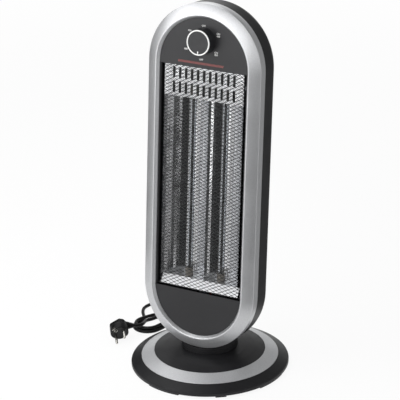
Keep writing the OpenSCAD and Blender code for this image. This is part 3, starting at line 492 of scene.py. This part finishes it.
def plugSleeve(wants, end):
    # ribs and grooves that grow thinner towards the lead, from where the plain part of the sleeve ends
    corners = list(wants["sleeve"])
    thick, at, soft = corners[-1]
    step = (end - at - 1.2) / wants["ribs"]
    for k in range(wants["ribs"]):
        slim = thick - wants["ribSlim"]
        corners += [(thick - 1.3, at + 0.05, 0.15), (slim - 1.2, at + 0.4 * step, 0.15),
            (slim, at + 0.45 * step, soft), (slim - 0.1, at + step, soft)]
        at, thick = at + step, slim - 0.1
    corners += [(thick - 1.2, end - 1.0, 0.2), (4.0, end, 0.4), (0, end, 0)]
    sleeve = turned("plugSleeve", corners, 40, 2)
    sleeve.data.transform(Matrix.Rotation(math.radians(90), 4, "Y"))
    return sleeve


def makePlug(wants, plug):
    r, face, start = plug["radius"], plug["face"], wants["nose"]
    nose = turned("plugMoulding", [(0, start - 1, 0), (r - 0.5, start - 1, 0.4), (r, start + 0.5, 0.3),
        (r, face - 0.2, 1.2), (r - 1.8, face, 0.3), (r - 2.3, face - 0.6, 0.2), (0, face - 0.6, 0)], 96)
    back = closedLoop("plugBack", [(x, y, start) for x, y in wants["planes"]])
    bpy.ops.mesh.edge_face_add()
    for rise in (wants["shoulder"] - start, wants["back"] - wants["shoulder"]):
        bpy.ops.mesh.extrude_region_move(TRANSFORM_OT_translate={"value": (0, 0, rise * mm)})
    objectMode()
    low = wants["back"] * mm
    for point in back.data.vertices:
        if abs(point.co.z - low) < 0.0001:
            point.co.x = point.co.x * wants["backScale"] + wants["backShift"] * mm
            point.co.y *= wants["backScale"]
    outwards(back)
    modify(back, "BEVEL", width=wants["bevel"] * mm, segments=3, limit_method="ANGLE",
        angle_limit=math.radians(20))
    cut(nose, back, "UNION")
    cut(nose, plugSleeve(wants, plug["relief"]), "UNION")
    turn = Matrix.Rotation(math.radians(plug["pinTurn"]), 4, "Z")
    for side in (-1, 1):
        # a slot for each earth contact, a hole for each pin
        place = turn @ Matrix.Translation(Vector((0, side * (r - 1), face + 4)) * mm)
        cut(nose, block("earthSlot", place, wants["slot"]))
        place = turn @ Matrix.Translation(Vector((side * plug["pinAside"], 0, face + 2)) * mm)
        drill(nose, "pinHole", place, *wants["pinHole"], 24)
    # the hole for a socket's earth pin, above the two pins
    place = turn @ Matrix.Translation(Vector((0, plug["earthUp"], face)) * mm)
    drill(nose, "earthHole", place, *wants["earthHole"], 32)
    outwards(nose, merge=0.000002)
    return settle(nose, plugPlace, angle=32.0)


pinWants = {"radius": 2.4, "root": 10.2, "tip": 37.0,
    "socket": [(2.5, -6.0, 0), (3.35, -6.0, 0), (3.35, 0.25, 0.25), (2.5, 0.25, 0.25)]}


def makePins(wants, plug):
    r, root, tip = wants["radius"], wants["root"], wants["tip"]
    pin = turned("plugPin", [(0, root, 0), (r, root, 0), (r, tip - 1.6, 0.5), (r - 1.1, tip, 0.5),
        (0, tip, 0)])
    turn = Matrix.Rotation(math.radians(plug["pinTurn"]), 4, "Z")
    pins = [another(pin, "plugPin", turn @ Matrix.Translation((side * plug["pinAside"] * mm, 0, 0)))
        for side in (-1, 1)]
    bpy.data.objects.remove(pin)
    # sleeve of the earth socket in the plug's face
    socket = turned("earthSocket", [(r, plug["face"] + z, soft) for r, z, soft in wants["socket"]])
    socket.data.transform(turn @ Matrix.Translation((0, plug["earthUp"] * mm, 0)))
    return settle(join(pins + [socket], "plugPinPair"), plugPlace)


plugBody = makePlug(plugBodyWants, plugWants)
plugPins = makePins(pinWants, plugWants)
print("plug:", len(plugBody.data.polygons), "faces")

# the lead's sleeve at the base, and the strap that holds the hank together
glandWants = {"inside": 15.0, "long": 40.0, "thick": 4.5, "thin": 4.0, "bore": 3.25, "ribs": 7,
    "groove": 0.45}
strapWants = {"wide": 8.0, "thick": 0.9, "slack": 0.35, "around": 96, "aside": 24.0, "lift": 0.6}


def makeGland(wants):
    # from inside the base out to the lead's free part, grooved so that it bends evenly
    corners = [(wants["bore"], 0, 0), (wants["thick"], 0, 0), (wants["thick"], wants["inside"], 0.1)]
    at, end = wants["inside"], wants["long"]
    step = (end - at - 1.5) / wants["ribs"]
    for k in range(wants["ribs"]):
        full = wants["thick"] + (wants["thin"] - wants["thick"]) * (k + 1) / wants["ribs"]
        deep = full - wants["groove"]
        corners += [(deep, at + 0.1, 0.1), (deep, at + 0.4 * step, 0.1), (full, at + 0.42 * step, 0.2),
            (full - 0.05, at + step, 0.2)]
        at += step
    corners += [(wants["bore"], end, 0)]
    gland = turned("leadGland", corners, 40, 2)
    base = Vector((0, leadWants["exitOut"], leadWants["exitHeight"])) * mm
    place = (Matrix.Rotation(math.radians(leadWants["exitTurn"]), 4, "Z") @ Matrix.Translation(base)
        @ Matrix.Rotation(math.radians(-90), 4, "X"))
    return settle(gland, place)


def strapOutline(wants, path):
    # the tightest band round every run of the lead that crosses the middle of the hank
    t = math.radians(hankWants["turn"])
    along, aside = Vector((math.cos(t), math.sin(t), 0)), Vector((-math.sin(t), math.cos(t), 0))
    middle = Vector((*hankWants["middle"], 0)) * mm
    runs = []
    for p, q in zip(path, path[1:]):
        a, b = (p - middle).dot(along), (q - middle).dot(along)
        if a * b <= 0 and a != b and abs((p - middle).dot(aside)) < wants["aside"] * mm:
            at = p + (q - p) * a / (a - b)
            runs.append(((at - middle).dot(aside), at.z))
    reach = (leadWants["thick"] / 2 + wants["slack"]) * mm
    low = (wants["lift"] + wants["thick"]) * mm
    outline = []
    for k in range(wants["around"]):
        turn = math.tau * k / wants["around"]
        way = Vector((math.cos(turn), math.sin(turn)))
        b, z = max(runs, key=lambda run: Vector(run).dot(way))
        outline.append((b + way.x * reach, max(z + way.y * reach, low)))
    return middle, along, aside, outline


def makeStrap(wants, path):
    # the outline drawn out along the hank as a band, then given its thickness
    middle, along, aside, outline = strapOutline(wants, path)
    half = wants["wide"] / 2 * mm
    places = [(middle + aside * b + Vector((0, 0, z)) - along * half) / mm for b, z in outline]
    strap = closedLoop("hankStrap", places)
    bpy.ops.mesh.select_mode(type="EDGE")
    bpy.ops.mesh.select_all(action="SELECT")
    bpy.ops.mesh.extrude_edges_move(TRANSFORM_OT_translate={"value": along * 2 * half})
    objectMode()
    only(strap)
    bpy.ops.object.mode_set(mode="EDIT")
    bpy.ops.mesh.select_all(action="SELECT")
    bpy.ops.mesh.remove_doubles(threshold=0.00002)
    bpy.ops.mesh.normals_make_consistent(inside=False)
    objectMode()
    modify(strap, "SOLIDIFY", thickness=wants["thick"] * mm, offset=1.0, use_even_offset=True)
    outwards(strap)
    return settle(strap)


gland = makeGland(glandWants)
strap = makeStrap(strapWants, leadPath)
print("gland and strap:", len(gland.data.polygons), "and", len(strap.data.polygons), "faces")

# screws: a pan head with a cross recess, modelled once and copied
screwWants = {"head": 3.0, "shank": 1.25, "cross": 3.4, "blade": 0.75, "deep": 1.1,
    "casing": {"from": 16.0, "to": 64.0, "thick": 1.95, "radius": 94.1, "heights": (260, 460), "aside": 50},
    "base": {"low": 0.8, "long": 8.4, "thick": 1.75, "radius": 97.0}}


def makeScrew(wants, name, thick, long):
    # head up at z 0, shank down
    head, shank, end = wants["head"], wants["shank"], -long - thick
    screw = turned(name, [(0, end, 0), (shank, end, 0.3), (shank, -thick, 0), (head, -thick, 0.2),
        (head, -0.5, 0.6), (head - 1.4, 0, 0.5), (0, 0, 0)])
    for turn in (0, 90):
        place = Matrix.Rotation(math.radians(turn), 4, "Z")
        cut(screw, block("crossBlade", place, (wants["cross"], wants["blade"], 2 * wants["deep"])))
    outwards(screw, merge=0.000002)
    return screw


def makeCasingScrews(wants, rim):
    # eight screws in wells in the casing's back, their heads 6 mm below its face
    casing = wants["casing"]
    r, aside, depth, thick = casing["radius"], casing["aside"], casing["to"], casing["thick"]
    screw = makeScrew(wants, "casingScrew", thick, depth - thick - casing["from"])
    reach = math.sqrt(r ** 2 - aside ** 2)
    places = [(side * r, z) for side in (-1, 1) for z in casing["heights"]]
    places += [(side * aside, z) for z in (rim["high"] + reach, rim["low"] - reach) for side in (-1, 1)]
    stand = Matrix.Rotation(math.radians(-90), 4, "X")
    copies = []
    for k, (x, z) in enumerate(places):
        place = (Matrix.Translation(Vector((x, depth, z)) * mm) @ stand
            @ Matrix.Rotation(math.radians(20 + 37 * k), 4, "Z"))
        copies.append(another(screw, "casingScrew", place))
    bpy.data.objects.remove(screw)
    return settle(join(copies, "casingScrewSet"), headPlace)


def makeBaseScrews(wants):
    # four screws up through the base plate into the weight
    base = wants["base"]
    screw = makeScrew(wants, "baseScrew", base["thick"], base["long"])
    copies = []
    for k in range(4):
        place = (Matrix.Rotation(math.radians(45 + 90 * k), 4, "Z")
            @ Matrix.Translation(Vector((base["radius"], 0, base["low"])) * mm)
            @ Matrix.Rotation(math.radians(180), 4, "X") @ Matrix.Rotation(math.radians(25 + 50 * k), 4, "Z"))
        copies.append(another(screw, "baseScrew", place))
    bpy.data.objects.remove(screw)
    return settle(join(copies, "baseScrewSet"))


casingScrews = makeCasingScrews(screwWants, rimWants)
baseScrews = makeBaseScrews(screwWants)
print("screws made")

# finishes: each starts from one colour and gloss, and is varied a little over its surface


def linear(code):
    # an sRGB hex colour as the linear one that Blender wants
    parts = [int(code[i:i + 2], 16) / 255 for i in (1, 3, 5)]
    return tuple(p / 12.92 if p <= 0.04045 else ((p + 0.055) / 1.055) ** 2.4 for p in parts) + (1.0,)


def addNode(tree, kind, settings=None, **links):
    # settings go to the inputs or the node itself; links go to inputs, with _ for a space
    node = tree.nodes.new(kind)
    for key, value in (settings or {}).items():
        if key in node.inputs:
            node.inputs[key].default_value = value
        else:
            setattr(node, key, value)
    for key, value in links.items():
        tree.links.new(value, node.inputs[key.replace("_", " ")])
    return node


def startMaterial(name, colour, roughness, metallic=0.0, **uniform):
    # a material with the node tree, shader and place that its colour, gloss and grain are built on
    material = bpy.data.materials.new(name)
    material.use_nodes = True
    tree = material.node_tree
    shader = tree.nodes["Principled BSDF"]
    shader.inputs["Base Color"].default_value = linear(colour)
    shader.inputs["Roughness"].default_value = roughness
    shader.inputs["Metallic"].default_value = metallic
    for key, value in uniform.items():
        shader.inputs[key.replace("_", " ")].default_value = value
    place = addNode(tree, "ShaderNodeTexCoord").outputs["Object"]
    return {"material": material, "tree": tree, "shader": shader, "place": place}


def noise(made, size, detail, stretch=(1, 1, 1)):
    # soft patches of the given size in millimetres
    mapped = addNode(made["tree"], "ShaderNodeMapping", {"Scale": stretch}, Vector=made["place"])
    return addNode(made["tree"], "ShaderNodeTexNoise", {"Scale": 1000.0 / size, "Detail": detail},
        Vector=mapped.outputs["Vector"]).outputs["Fac"]


def mottle(made, size, low, high, detail=3.0, stretch=(1, 1, 1)):
    # patches between two sRGB colours
    ramp = addNode(made["tree"], "ShaderNodeValToRGB", Fac=noise(made, size, detail, stretch))
    ramp.color_ramp.elements[0].position = 0.35
    ramp.color_ramp.elements[0].color = linear(low)
    ramp.color_ramp.elements[1].position = 0.65
    ramp.color_ramp.elements[1].color = linear(high)
    colourBy(made, ramp)


def grain(made, size, height, strength, stretch=(1, 1, 1)):
    # a bump of the given grain size and height, both in millimetres
    bump = addNode(made["tree"], "ShaderNodeBump", {"Strength": strength, "Distance": height * mm},
        Height=noise(made, size, 2.0, stretch))
    made["tree"].links.new(bump.outputs["Normal"], made["shader"].inputs["Normal"])


def vary(made, size, low, high):
    # patches between two roughnesses
    span = addNode(made["tree"], "ShaderNodeMapRange", {"From Min": 0.3, "From Max": 0.7, "To Min": low,
        "To Max": high}, Value=noise(made, size, 3.0))
    made["tree"].links.new(span.outputs["Result"], made["shader"].inputs["Roughness"])


def colourBy(made, node):
    made["tree"].links.new(node.outputs["Color"], made["shader"].inputs["Base Color"])


def blackPlastic():
    # black ABS, injection moulded in a spark-eroded tool: a fine even grain and a dull satin sheen
    made = startMaterial("mouldedBlackAbs", "#1a1a1c", 0.42, Specular_IOR_Level=0.27)
    mottle(made, 60, "#19191b", "#1e1e20")
    vary(made, 25, 0.38, 0.47)
    grain(made, 0.9, 0.05, 0.35)  # the real grain is about 0.2 mm, drawn coarser to show
    return made


def panelPlastic():
    # dark grey ABS panel, moulded with a smooth satin face
    made = startMaterial("satinGreyAbs", "#232325", 0.42, Specular_IOR_Level=0.35)
    mottle(made, 90, "#212123", "#262628")
    vary(made, 40, 0.37, 0.44)
    grain(made, 0.8, 0.03, 0.25)
    return made


def silverPaint():
    # silver lacquer sprayed on ABS: fine aluminium flake under a thin clear coat
    made = startMaterial("silverLacquer", "#c4c5c7", 0.38, metallic=0.75, Coat_Weight=0.2,
        Coat_Roughness=0.15)
    mottle(made, 1.2, "#bebfc1", "#cacbcd", detail=1.0)  # real flake is 0.05 mm
    vary(made, 50, 0.34, 0.42)
    grain(made, 1.0, 0.02, 0.2)
    return made


def silverRing():
    # the rim's silver lacquer again on the base's trim ring, a touch rougher; painted shade: this copy is
    # darker and less metallic, set to how dim the ring is lit
    made = startMaterial("silverLacquerShadedCopy", "#b9babc", 0.42, metallic=0.4,
        Coat_Weight=0.2, Coat_Roughness=0.22)
    mottle(made, 1.2, "#b3b4b6", "#bfc0c2", detail=1.0)
    vary(made, 30, 0.35, 0.45)
    grain(made, 1.0, 0.03, 0.25)
    return made


def netSteel():
    # expanded steel, satin, with a small glint on each strand; painted shade: its dark grey colour stands in
    # for plated strands that mirror a dark room
    made = startMaterial("darkNetPaintedShade", "#222324", 0.40, Specular_IOR_Level=0.35)
    mottle(made, 9, "#1e1f20", "#27282a")
    vary(made, 5, 0.34, 0.46)
    return made


def mirrorSheet():
    # polished aluminium sheet, rolled: long faint lines up and down, a clear but soft mirror
    made = startMaterial("polishedAluminium", "#e2e3e5", 0.12, metallic=1.0)
    mottle(made, 14, "#dbdcde", "#e9eaec", stretch=(1, 1, 0.04))
    vary(made, 20, 0.08, 0.17)
    grain(made, 3.0, 0.01, 0.15, stretch=(1, 1, 0.03))
    return made


def mattSheet():
    # the same sheet with its mill finish, on the slanted plate below the tubes: it spreads what it mirrors
    made = startMaterial("millAluminium", "#d6d7d9", 0.5, metallic=1.0)
    mottle(made, 14, "#cfd0d2", "#dddee0", stretch=(0.04, 1, 1))
    vary(made, 20, 0.46, 0.54)
    grain(made, 2.0, 0.02, 0.2, stretch=(0.03, 1, 1))
    return made


def blackSheet():
    # folded steel tray, enamelled and slightly orange-peeled; painted shade: its black stands in for the
    # shade in the gap between the guard and the rim
    made = startMaterial("blackTrayPaintedShade", "#161617", 0.5)
    mottle(made, 30, "#131314", "#1a1a1b")
    vary(made, 12, 0.44, 0.56)
    grain(made, 1.6, 0.04, 0.3)
    return made


def zincSteel():
    # zinc plated mild steel: a cool grey with faint spangle
    made = startMaterial("zincPlatedSteel", "#b4b8bd", 0.34, metallic=1.0)
    cells = addNode(made["tree"], "ShaderNodeTexVoronoi", {"Scale": 1000.0 / 5}, Vector=made["place"])
    ramp = addNode(made["tree"], "ShaderNodeValToRGB", Fac=cells.outputs["Color"])
    ramp.color_ramp.elements[0].color = linear("#a8acb1")
    ramp.color_ramp.elements[1].color = linear("#c0c4c9")
    colourBy(made, ramp)
    vary(made, 6, 0.28, 0.42)
    return made


def castWeight():
    # pressed iron weight, painted grey over a rough face
    made = startMaterial("greyPrimedIron", "#55585c", 0.6, metallic=0.2)
    mottle(made, 8, "#4c4f53", "#5e6165")
    grain(made, 1.5, 0.2, 0.6)
    return made


def quartzGlass():
    # drawn quartz tube: clear, with a slight haze
    made = startMaterial("drawnQuartz", "#f4f6f8", 0.03, IOR=1.458, Transmission_Weight=1.0)
    vary(made, 12, 0.01, 0.07)
    return made


def carbonElement():
    # woven carbon ribbon: dead black with a faint thread
    made = startMaterial("wovenCarbon", "#0b0b0c", 0.7)
    weave = addNode(made["tree"], "ShaderNodeTexChecker", {"Scale": 1000.0 / 0.8, "Color1": linear("#08080a"),
        "Color2": linear("#141416")}, Vector=made["place"])
    colourBy(made, weave)
    grain(made, 0.8, 0.1, 0.5)
    return made


def ceramic():
    # fired clay end caps: dull grey brown with a low glaze
    made = startMaterial("steatiteCeramic", "#6a665f", 0.5, IOR=1.6)
    mottle(made, 4, "#625e57", "#726e67")
    grain(made, 0.6, 0.05, 0.3)
    return made


def creamPlastic():
    # cream heat-proof thermoset of the switch and terminal block
    made = startMaterial("creamThermoset", "#d8d2c0", 0.5, IOR=1.55)
    mottle(made, 6, "#d2ccb9", "#ded8c8")
    grain(made, 0.7, 0.04, 0.3)
    return made


def footRubber():
    # black moulded rubber pads, dull and slightly dusty
    made = startMaterial("footRubber", "#18181a", 0.82)
    mottle(made, 5, "#151517", "#202022")
    grain(made, 0.9, 0.08, 0.5)
    return made


def redPlastic():
    # red nylon plunger of the tip-over switch
    made = startMaterial("redNylon", "#b03126", 0.45, IOR=1.53)
    mottle(made, 5, "#a82d23", "#ba382c")
    grain(made, 0.8, 0.03, 0.3)
    return made


def springSteel():
    # drawn spring wire, bare and slightly blue
    made = startMaterial("drawnSpringWire", "#8f9299", 0.3, metallic=1.0)
    mottle(made, 3, "#878a91", "#989ba2")
    vary(made, 2, 0.25, 0.38)
    return made


def leadPvc():
    # black PVC sheath of the lead, extruded: smooth, with a soft sheen
    made = startMaterial("extrudedBlackPvc", "#0b0b0c", 0.42, Specular_IOR_Level=0.25)
    mottle(made, 15, "#090909", "#0e0e0f")
    vary(made, 8, 0.35, 0.46)
    grain(made, 1.2, 0.03, 0.25)
    return made


def plugPvc():
    # black PVC moulded over the plug: a shade duller than the lead
    made = startMaterial("mouldedBlackPvc", "#0d0d0e", 0.46, Specular_IOR_Level=0.25)
    mottle(made, 12, "#0b0b0c", "#101011")
    vary(made, 6, 0.40, 0.52)
    grain(made, 0.8, 0.05, 0.4)
    return made


def pinMetal():
    # nickel plated brass pins and earth springs
    made = startMaterial("nickelPlatedBrass", "#cfcdc8", 0.22, metallic=1.0)
    mottle(made, 4, "#c6c4be", "#d6d4d0")
    vary(made, 3, 0.16, 0.30)
    return made


def whiteInk():
    # white pad-printed ink and the knob's white insert
    made = startMaterial("whiteInk", "#f0f0ee", 0.5, IOR=1.5)
    mottle(made, 2, "#ebebe9", "#f4f4f2")
    return made


def redInk():
    # dull red pad-printed ink
    made = startMaterial("redInk", "#8c4542", 0.55, IOR=1.5)
    mottle(made, 2, "#83403d", "#954a47")
    return made


def knobPlastic():
    # knob in dark grey ABS, finely satin
    made = startMaterial("knobGreyAbs", "#29292b", 0.38, Specular_IOR_Level=0.3)
    mottle(made, 12, "#272729", "#2c2c2e")
    grain(made, 0.7, 0.03, 0.25)
    return made


def wireRed():
    # silicone sleeved wires, dull red
    made = startMaterial("siliconeSleeve", "#8c1f19", 0.55)
    mottle(made, 4, "#831c16", "#97251e")
    grain(made, 0.8, 0.04, 0.3)
    return made


def strapWeave():
    # woven nylon strap with a hook face: dull black with a fine rib across
    made = startMaterial("wovenNylonStrap", "#161617", 0.85)
    mottle(made, 2, "#121213", "#1c1c1e")
    grain(made, 0.7, 0.12, 0.6)
    return made


def nylonWasher():
    # natural nylon bearing washer
    made = startMaterial("naturalNylon", "#e2e0d6", 0.5, IOR=1.53)
    mottle(made, 10, "#dcdacf", "#e8e6dd")
    return made


finishes = {
    "blackPlastic": blackPlastic(), "panel": panelPlastic(), "silver": silverPaint(), "ring": silverRing(),
    "net": netSteel(), "mirror": mirrorSheet(), "matt": mattSheet(), "enamel": blackSheet(),
    "zinc": zincSteel(), "weight": castWeight(), "quartz": quartzGlass(), "carbon": carbonElement(),
    "ceramic": ceramic(), "cream": creamPlastic(), "foot": footRubber(), "red": redPlastic(),
    "spring": springSteel(), "lead": leadPvc(), "plug": plugPvc(), "pins": pinMetal(), "white": whiteInk(),
    "redInk": redInk(), "knob": knobPlastic(), "wire": wireRed(), "washer": nylonWasher(),
    "strap": strapWeave(),
}

nodeFinish = {
    "blackPlastic": ["base_cover", "base_plate", "neck", "rear_casing", "cord_clamp", "tip_switch"],
    "panel": ["front_frame"],
    "silver": ["front_bezel"],
    "ring": ["base_trim_ring"],
    "net": ["guard_grille"],
    "mirror": ["main_mirror", "upper_mirror_plate"],
    "matt": ["lower_mirror_plate"],
    "enamel": ["heater_tray"],
    "zinc": ["neck_bracket", "swing_arm", "swing_motor", "base_screws", "motor_screws", "arm_screws",
        "bracket_screws", "casing_screws", "tray_screws", "switch_nut", "switch_shaft", "thermal_cutout"],
    "weight": ["base_weight"],
    "quartz": ["quartz_tubes"],
    "carbon": ["carbon_elements"],
    "ceramic": ["lower_caps", "upper_caps"],
    "cream": ["terminal_block", "rotary_switch", "crank_disc"],
    "foot": ["long_feet", "short_feet"],
    "red": ["tip_plunger"],
    "spring": ["tip_spring"],
    "lead": ["cord_gland", "cord_tie", "mains_cord", "cord_hank", "plug_lead"],
    "plug": ["plug_body"],
    "pins": ["plug_pins", "plug_earth_clips"],
    "white": ["knob_ring", "knob_marker"],
    "knob": ["control_knob"],
    "wire": ["inner_wires"],
    "washer": ["bearing_washer"],
}


def dress(piece, finish):
    piece.data.materials.clear()
    piece.data.materials.append(finishes[finish]["material"])


for finish, nodes in nodeFinish.items():
    for node in nodes:
        dress(cadNodes[node], finish)
for piece, finish in ((lead, "lead"), (net, "net"), (rim, "silver"), (marks, "white"), (rule, "redInk"),
        (plugBody, "plug"), (plugPins, "pins"), (gland, "lead"), (strap, "strap"), (casingScrews, "zinc"),
        (baseScrews, "zinc")):
    dress(piece, finish)
print("finishes set:", len(finishes))

# each new piece rides on its part of the heater
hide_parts("mains_cord", "cord_hank", "plug_lead")
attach(lead, "base")

for piece, node, body, slot in (
        (net, "guard_grille", "head", "grille_steel"),
        (rim, "front_bezel", "head", "silver_paint"),
        (marks, None, "head", "white_marking"),
        (rule, None, "head", "red_plastic"),
        (plugBody, "plug_body", "base", "cord_rubber"),
        (plugPins, "plug_pins", "base", "pin_metal"),
        (gland, "cord_gland", "base", "cord_rubber"),
        (strap, "cord_tie", "base", "black_plastic"),
        (casingScrews, "casing_screws", "head", "zinc_steel"),
        (baseScrews, "base_screws", "base", "zinc_steel")):
    if node:
        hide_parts(node)
    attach(piece, body)

# floor, backdrop colour and light
stageWants = {"floor": 16.0, "shade": 0.1, "near": 0.8, "far": 2.6}


def combine(tree, operation, a, b):
    node = addNode(tree, "ShaderNodeMath", {"operation": operation})
    tree.links.new(a, node.inputs[0])
    tree.links.new(b, node.inputs[1])
    return node.outputs[0]


def paleRays(tree):
    # 1 where a surface is seen, by the camera, in metal or through glass, and 0 where it only sends light on
    seen = addNode(tree, "ShaderNodeLightPath")
    mirrored = combine(tree, "MAXIMUM", seen.outputs["Is Glossy Ray"], seen.outputs["Is Transmission Ray"])
    return combine(tree, "MAXIMUM", mirrored, seen.outputs["Is Camera Ray"])


def makeFloor(wants):
    # a pale floor that the camera sees as almost white, with the heater's own shadow left in it, and all
    # white from a few steps away, so that its edge doesn't show against the backdrop
    clearAll()
    bpy.ops.mesh.primitive_plane_add(size=wants["floor"], location=(0, 0, 0))
    floor = named("studioFloor")
    material = bpy.data.materials.new("paleStudioFloor")
    material.use_nodes = True
    tree = material.node_tree
    shader = tree.nodes["Principled BSDF"]
    shader.inputs["Base Color"].default_value = linear("#f2f2f2")
    shader.inputs["Roughness"].default_value = 0.9
    middle = addNode(tree, "ShaderNodeVectorMath", {"operation": "LENGTH"},
        Vector=addNode(tree, "ShaderNodeTexCoord").outputs["Object"])
    white = addNode(tree, "ShaderNodeMapRange", {"From Min": wants["near"], "From Max": wants["far"],
        "To Min": 1 - wants["shade"], "To Max": 1.0}, Value=middle.outputs["Value"])
    share = combine(tree, "MULTIPLY", paleRays(tree), white.outputs["Result"])
    glow = addNode(tree, "ShaderNodeEmission", {"Color": linear("#ffffff"), "Strength": 1.0})
    mix = addNode(tree, "ShaderNodeMixShader")
    tree.links.new(share, mix.inputs[0])
    tree.links.new(shader.outputs[0], mix.inputs[1])
    tree.links.new(glow.outputs[0], mix.inputs[2])
    tree.links.new(mix.outputs[0], tree.nodes["Material Output"].inputs["Surface"])
    floor.data.materials.append(material)


worldWants = {"soft": 0.35, "high": 0.14, "from": 0.15, "to": 0.5}


def makeWorld(wants):
    # white all round as far up as the backdrop goes, the dim ceiling of the room above it, and plain white
    # where the camera looks past everything
    world = bpy.data.worlds.new("studioSurround")
    bpy.context.scene.world = world
    world.use_nodes = True
    tree = world.node_tree
    around = addNode(tree, "ShaderNodeTexCoord").outputs["Generated"]
    way = addNode(tree, "ShaderNodeSeparateXYZ", Vector=around)
    white = addNode(tree, "ShaderNodeMapRange", {"interpolation_type": "SMOOTHSTEP",
        "From Min": wants["from"], "From Max": wants["to"], "To Min": 1.0, "To Max": wants["high"]},
        Value=way.outputs["Z"])
    level = addNode(tree, "ShaderNodeMapRange", {"To Min": wants["soft"]}, Value=paleRays(tree),
        To_Max=white.outputs["Result"])
    direct = addNode(tree, "ShaderNodeLightPath").outputs["Is Camera Ray"]
    full = combine(tree, "MAXIMUM", level.outputs["Result"], direct)
    ground = tree.nodes["Background"]
    ground.inputs["Color"].default_value = linear("#ffffff")
    tree.links.new(full, ground.inputs["Strength"])


# painted reflections: cards round the heater that only its metal mirrors, hidden from the camera, from
# diffuse light and from shadows, each glowing at its shade, dark or grey, so that bright metal shows dark and
# grey bands: each runs between two bearings from the front, in degrees to the right, from near to far a
# little over the floor, and then upright
cardLift = 0.001
cardWants = [
    {"name": "rightCard", "from": 15.0, "to": 54.0, "near": 0.45, "far": 1.0, "high": 0.6, "shade": 0.03},
    {"name": "sideCard", "from": 58.5, "to": 70.0, "near": 0.45, "far": 1.1, "high": 0.8, "shade": 0.06},
    {"name": "backRightCard", "from": 104.0, "to": 178.0, "near": 0.28, "far": 1.1, "high": 0.9,
        "shade": 0.33},
    {"name": "leftCard", "from": -126.0, "to": -71.0, "near": 0.7, "far": 1.1, "high": 0.9, "shade": 0.03},
]


def makeCards(cards):
    for wants in cards:
        clearAll()
        bpy.ops.mesh.primitive_grid_add(x_subdivisions=1, y_subdivisions=2, size=1)
        card = named(wants["name"])
        rows = ((wants["near"], cardLift), (wants["far"], cardLift), (wants["far"], wants["high"]))
        for point in card.data.vertices:
            t = math.radians(wants["to"] if point.co.x > 0 else wants["from"])
            far, high = rows[round(point.co.y * 2) + 1]
            point.co = (math.sin(t) * far, -math.cos(t) * far, high)
        material = bpy.data.materials.new("reflectionOnlyCardGlow")
        material.use_nodes = True
        tree = material.node_tree
        # painted reflection: the card glows at its shade, and only glossy rays see it
        glow = addNode(tree, "ShaderNodeEmission", {"Color": linear("#ffffff"), "Strength": wants["shade"]})
        tree.links.new(glow.outputs[0], tree.nodes["Material Output"].inputs["Surface"])
        card.data.materials.append(material)
        card.visible_camera = card.visible_diffuse = False
        card.visible_transmission = card.visible_shadow = False


# soft boxes and strips; the last two light the heater without showing in its metal
lampWants = [
    {"name": "topFrontBox", "place": (-0.38, -0.90, 1.10), "aim": (0, -0.06, 0.55),
        "wide": 2.0, "high": 0.75, "power": 12.5},
    {"name": "overheadBox", "place": (-0.60, 0.48, 1.42), "aim": (0, 0, 0.05),
        "wide": 1.4, "high": 1.5, "power": 11.0},
    {"name": "lowFrontStrip", "place": (-0.60, -1.12, 0.13), "aim": (0, -0.06, 0.13),
        "wide": 0.24, "high": 0.24, "power": 0.15},
    {"name": "panelStrip", "place": (-0.60, -1.12, 0.54), "aim": (0, -0.06, 0.54),
        "wide": 0.45, "high": 0.30, "power": 1.6},
    {"name": "rightStrip", "place": (1.07, -0.70, 0.50), "aim": (0, -0.05, 0.35),
        "wide": 0.06, "high": 1.0, "power": 0.42},
    {"name": "leftBox", "place": (-1.3, -1.2, 0.9), "aim": (0, 0, 0.35),
        "wide": 0.9, "high": 1.1, "power": 4.0, "seen": False},
    {"name": "rightFill", "place": (1.1, -1.3, 0.8), "aim": (0, 0, 0.35),
        "wide": 0.9, "high": 1.1, "power": 2.8, "seen": False},
]


def makeLamps(lamps):
    for wants in lamps:
        clearAll()
        bpy.ops.object.light_add(type="AREA", location=wants["place"])
        lamp = bpy.context.object
        lamp.name = wants["name"]
        lamp.data.shape = "RECTANGLE"
        lamp.data.size, lamp.data.size_y = wants["wide"], wants["high"]
        lamp.data.energy = wants["power"]
        lamp.visible_glossy = wants.get("seen", True)
        way = Vector(wants["aim"]) - Vector(wants["place"])
        lamp.rotation_euler = way.to_track_quat("-Z", "Y").to_euler()


makeFloor(stageWants)
makeWorld(worldWants)
makeCards(cardWants)
makeLamps(lampWants)
bpy.context.scene.view_settings.view_transform = "Standard"
print("studio set")
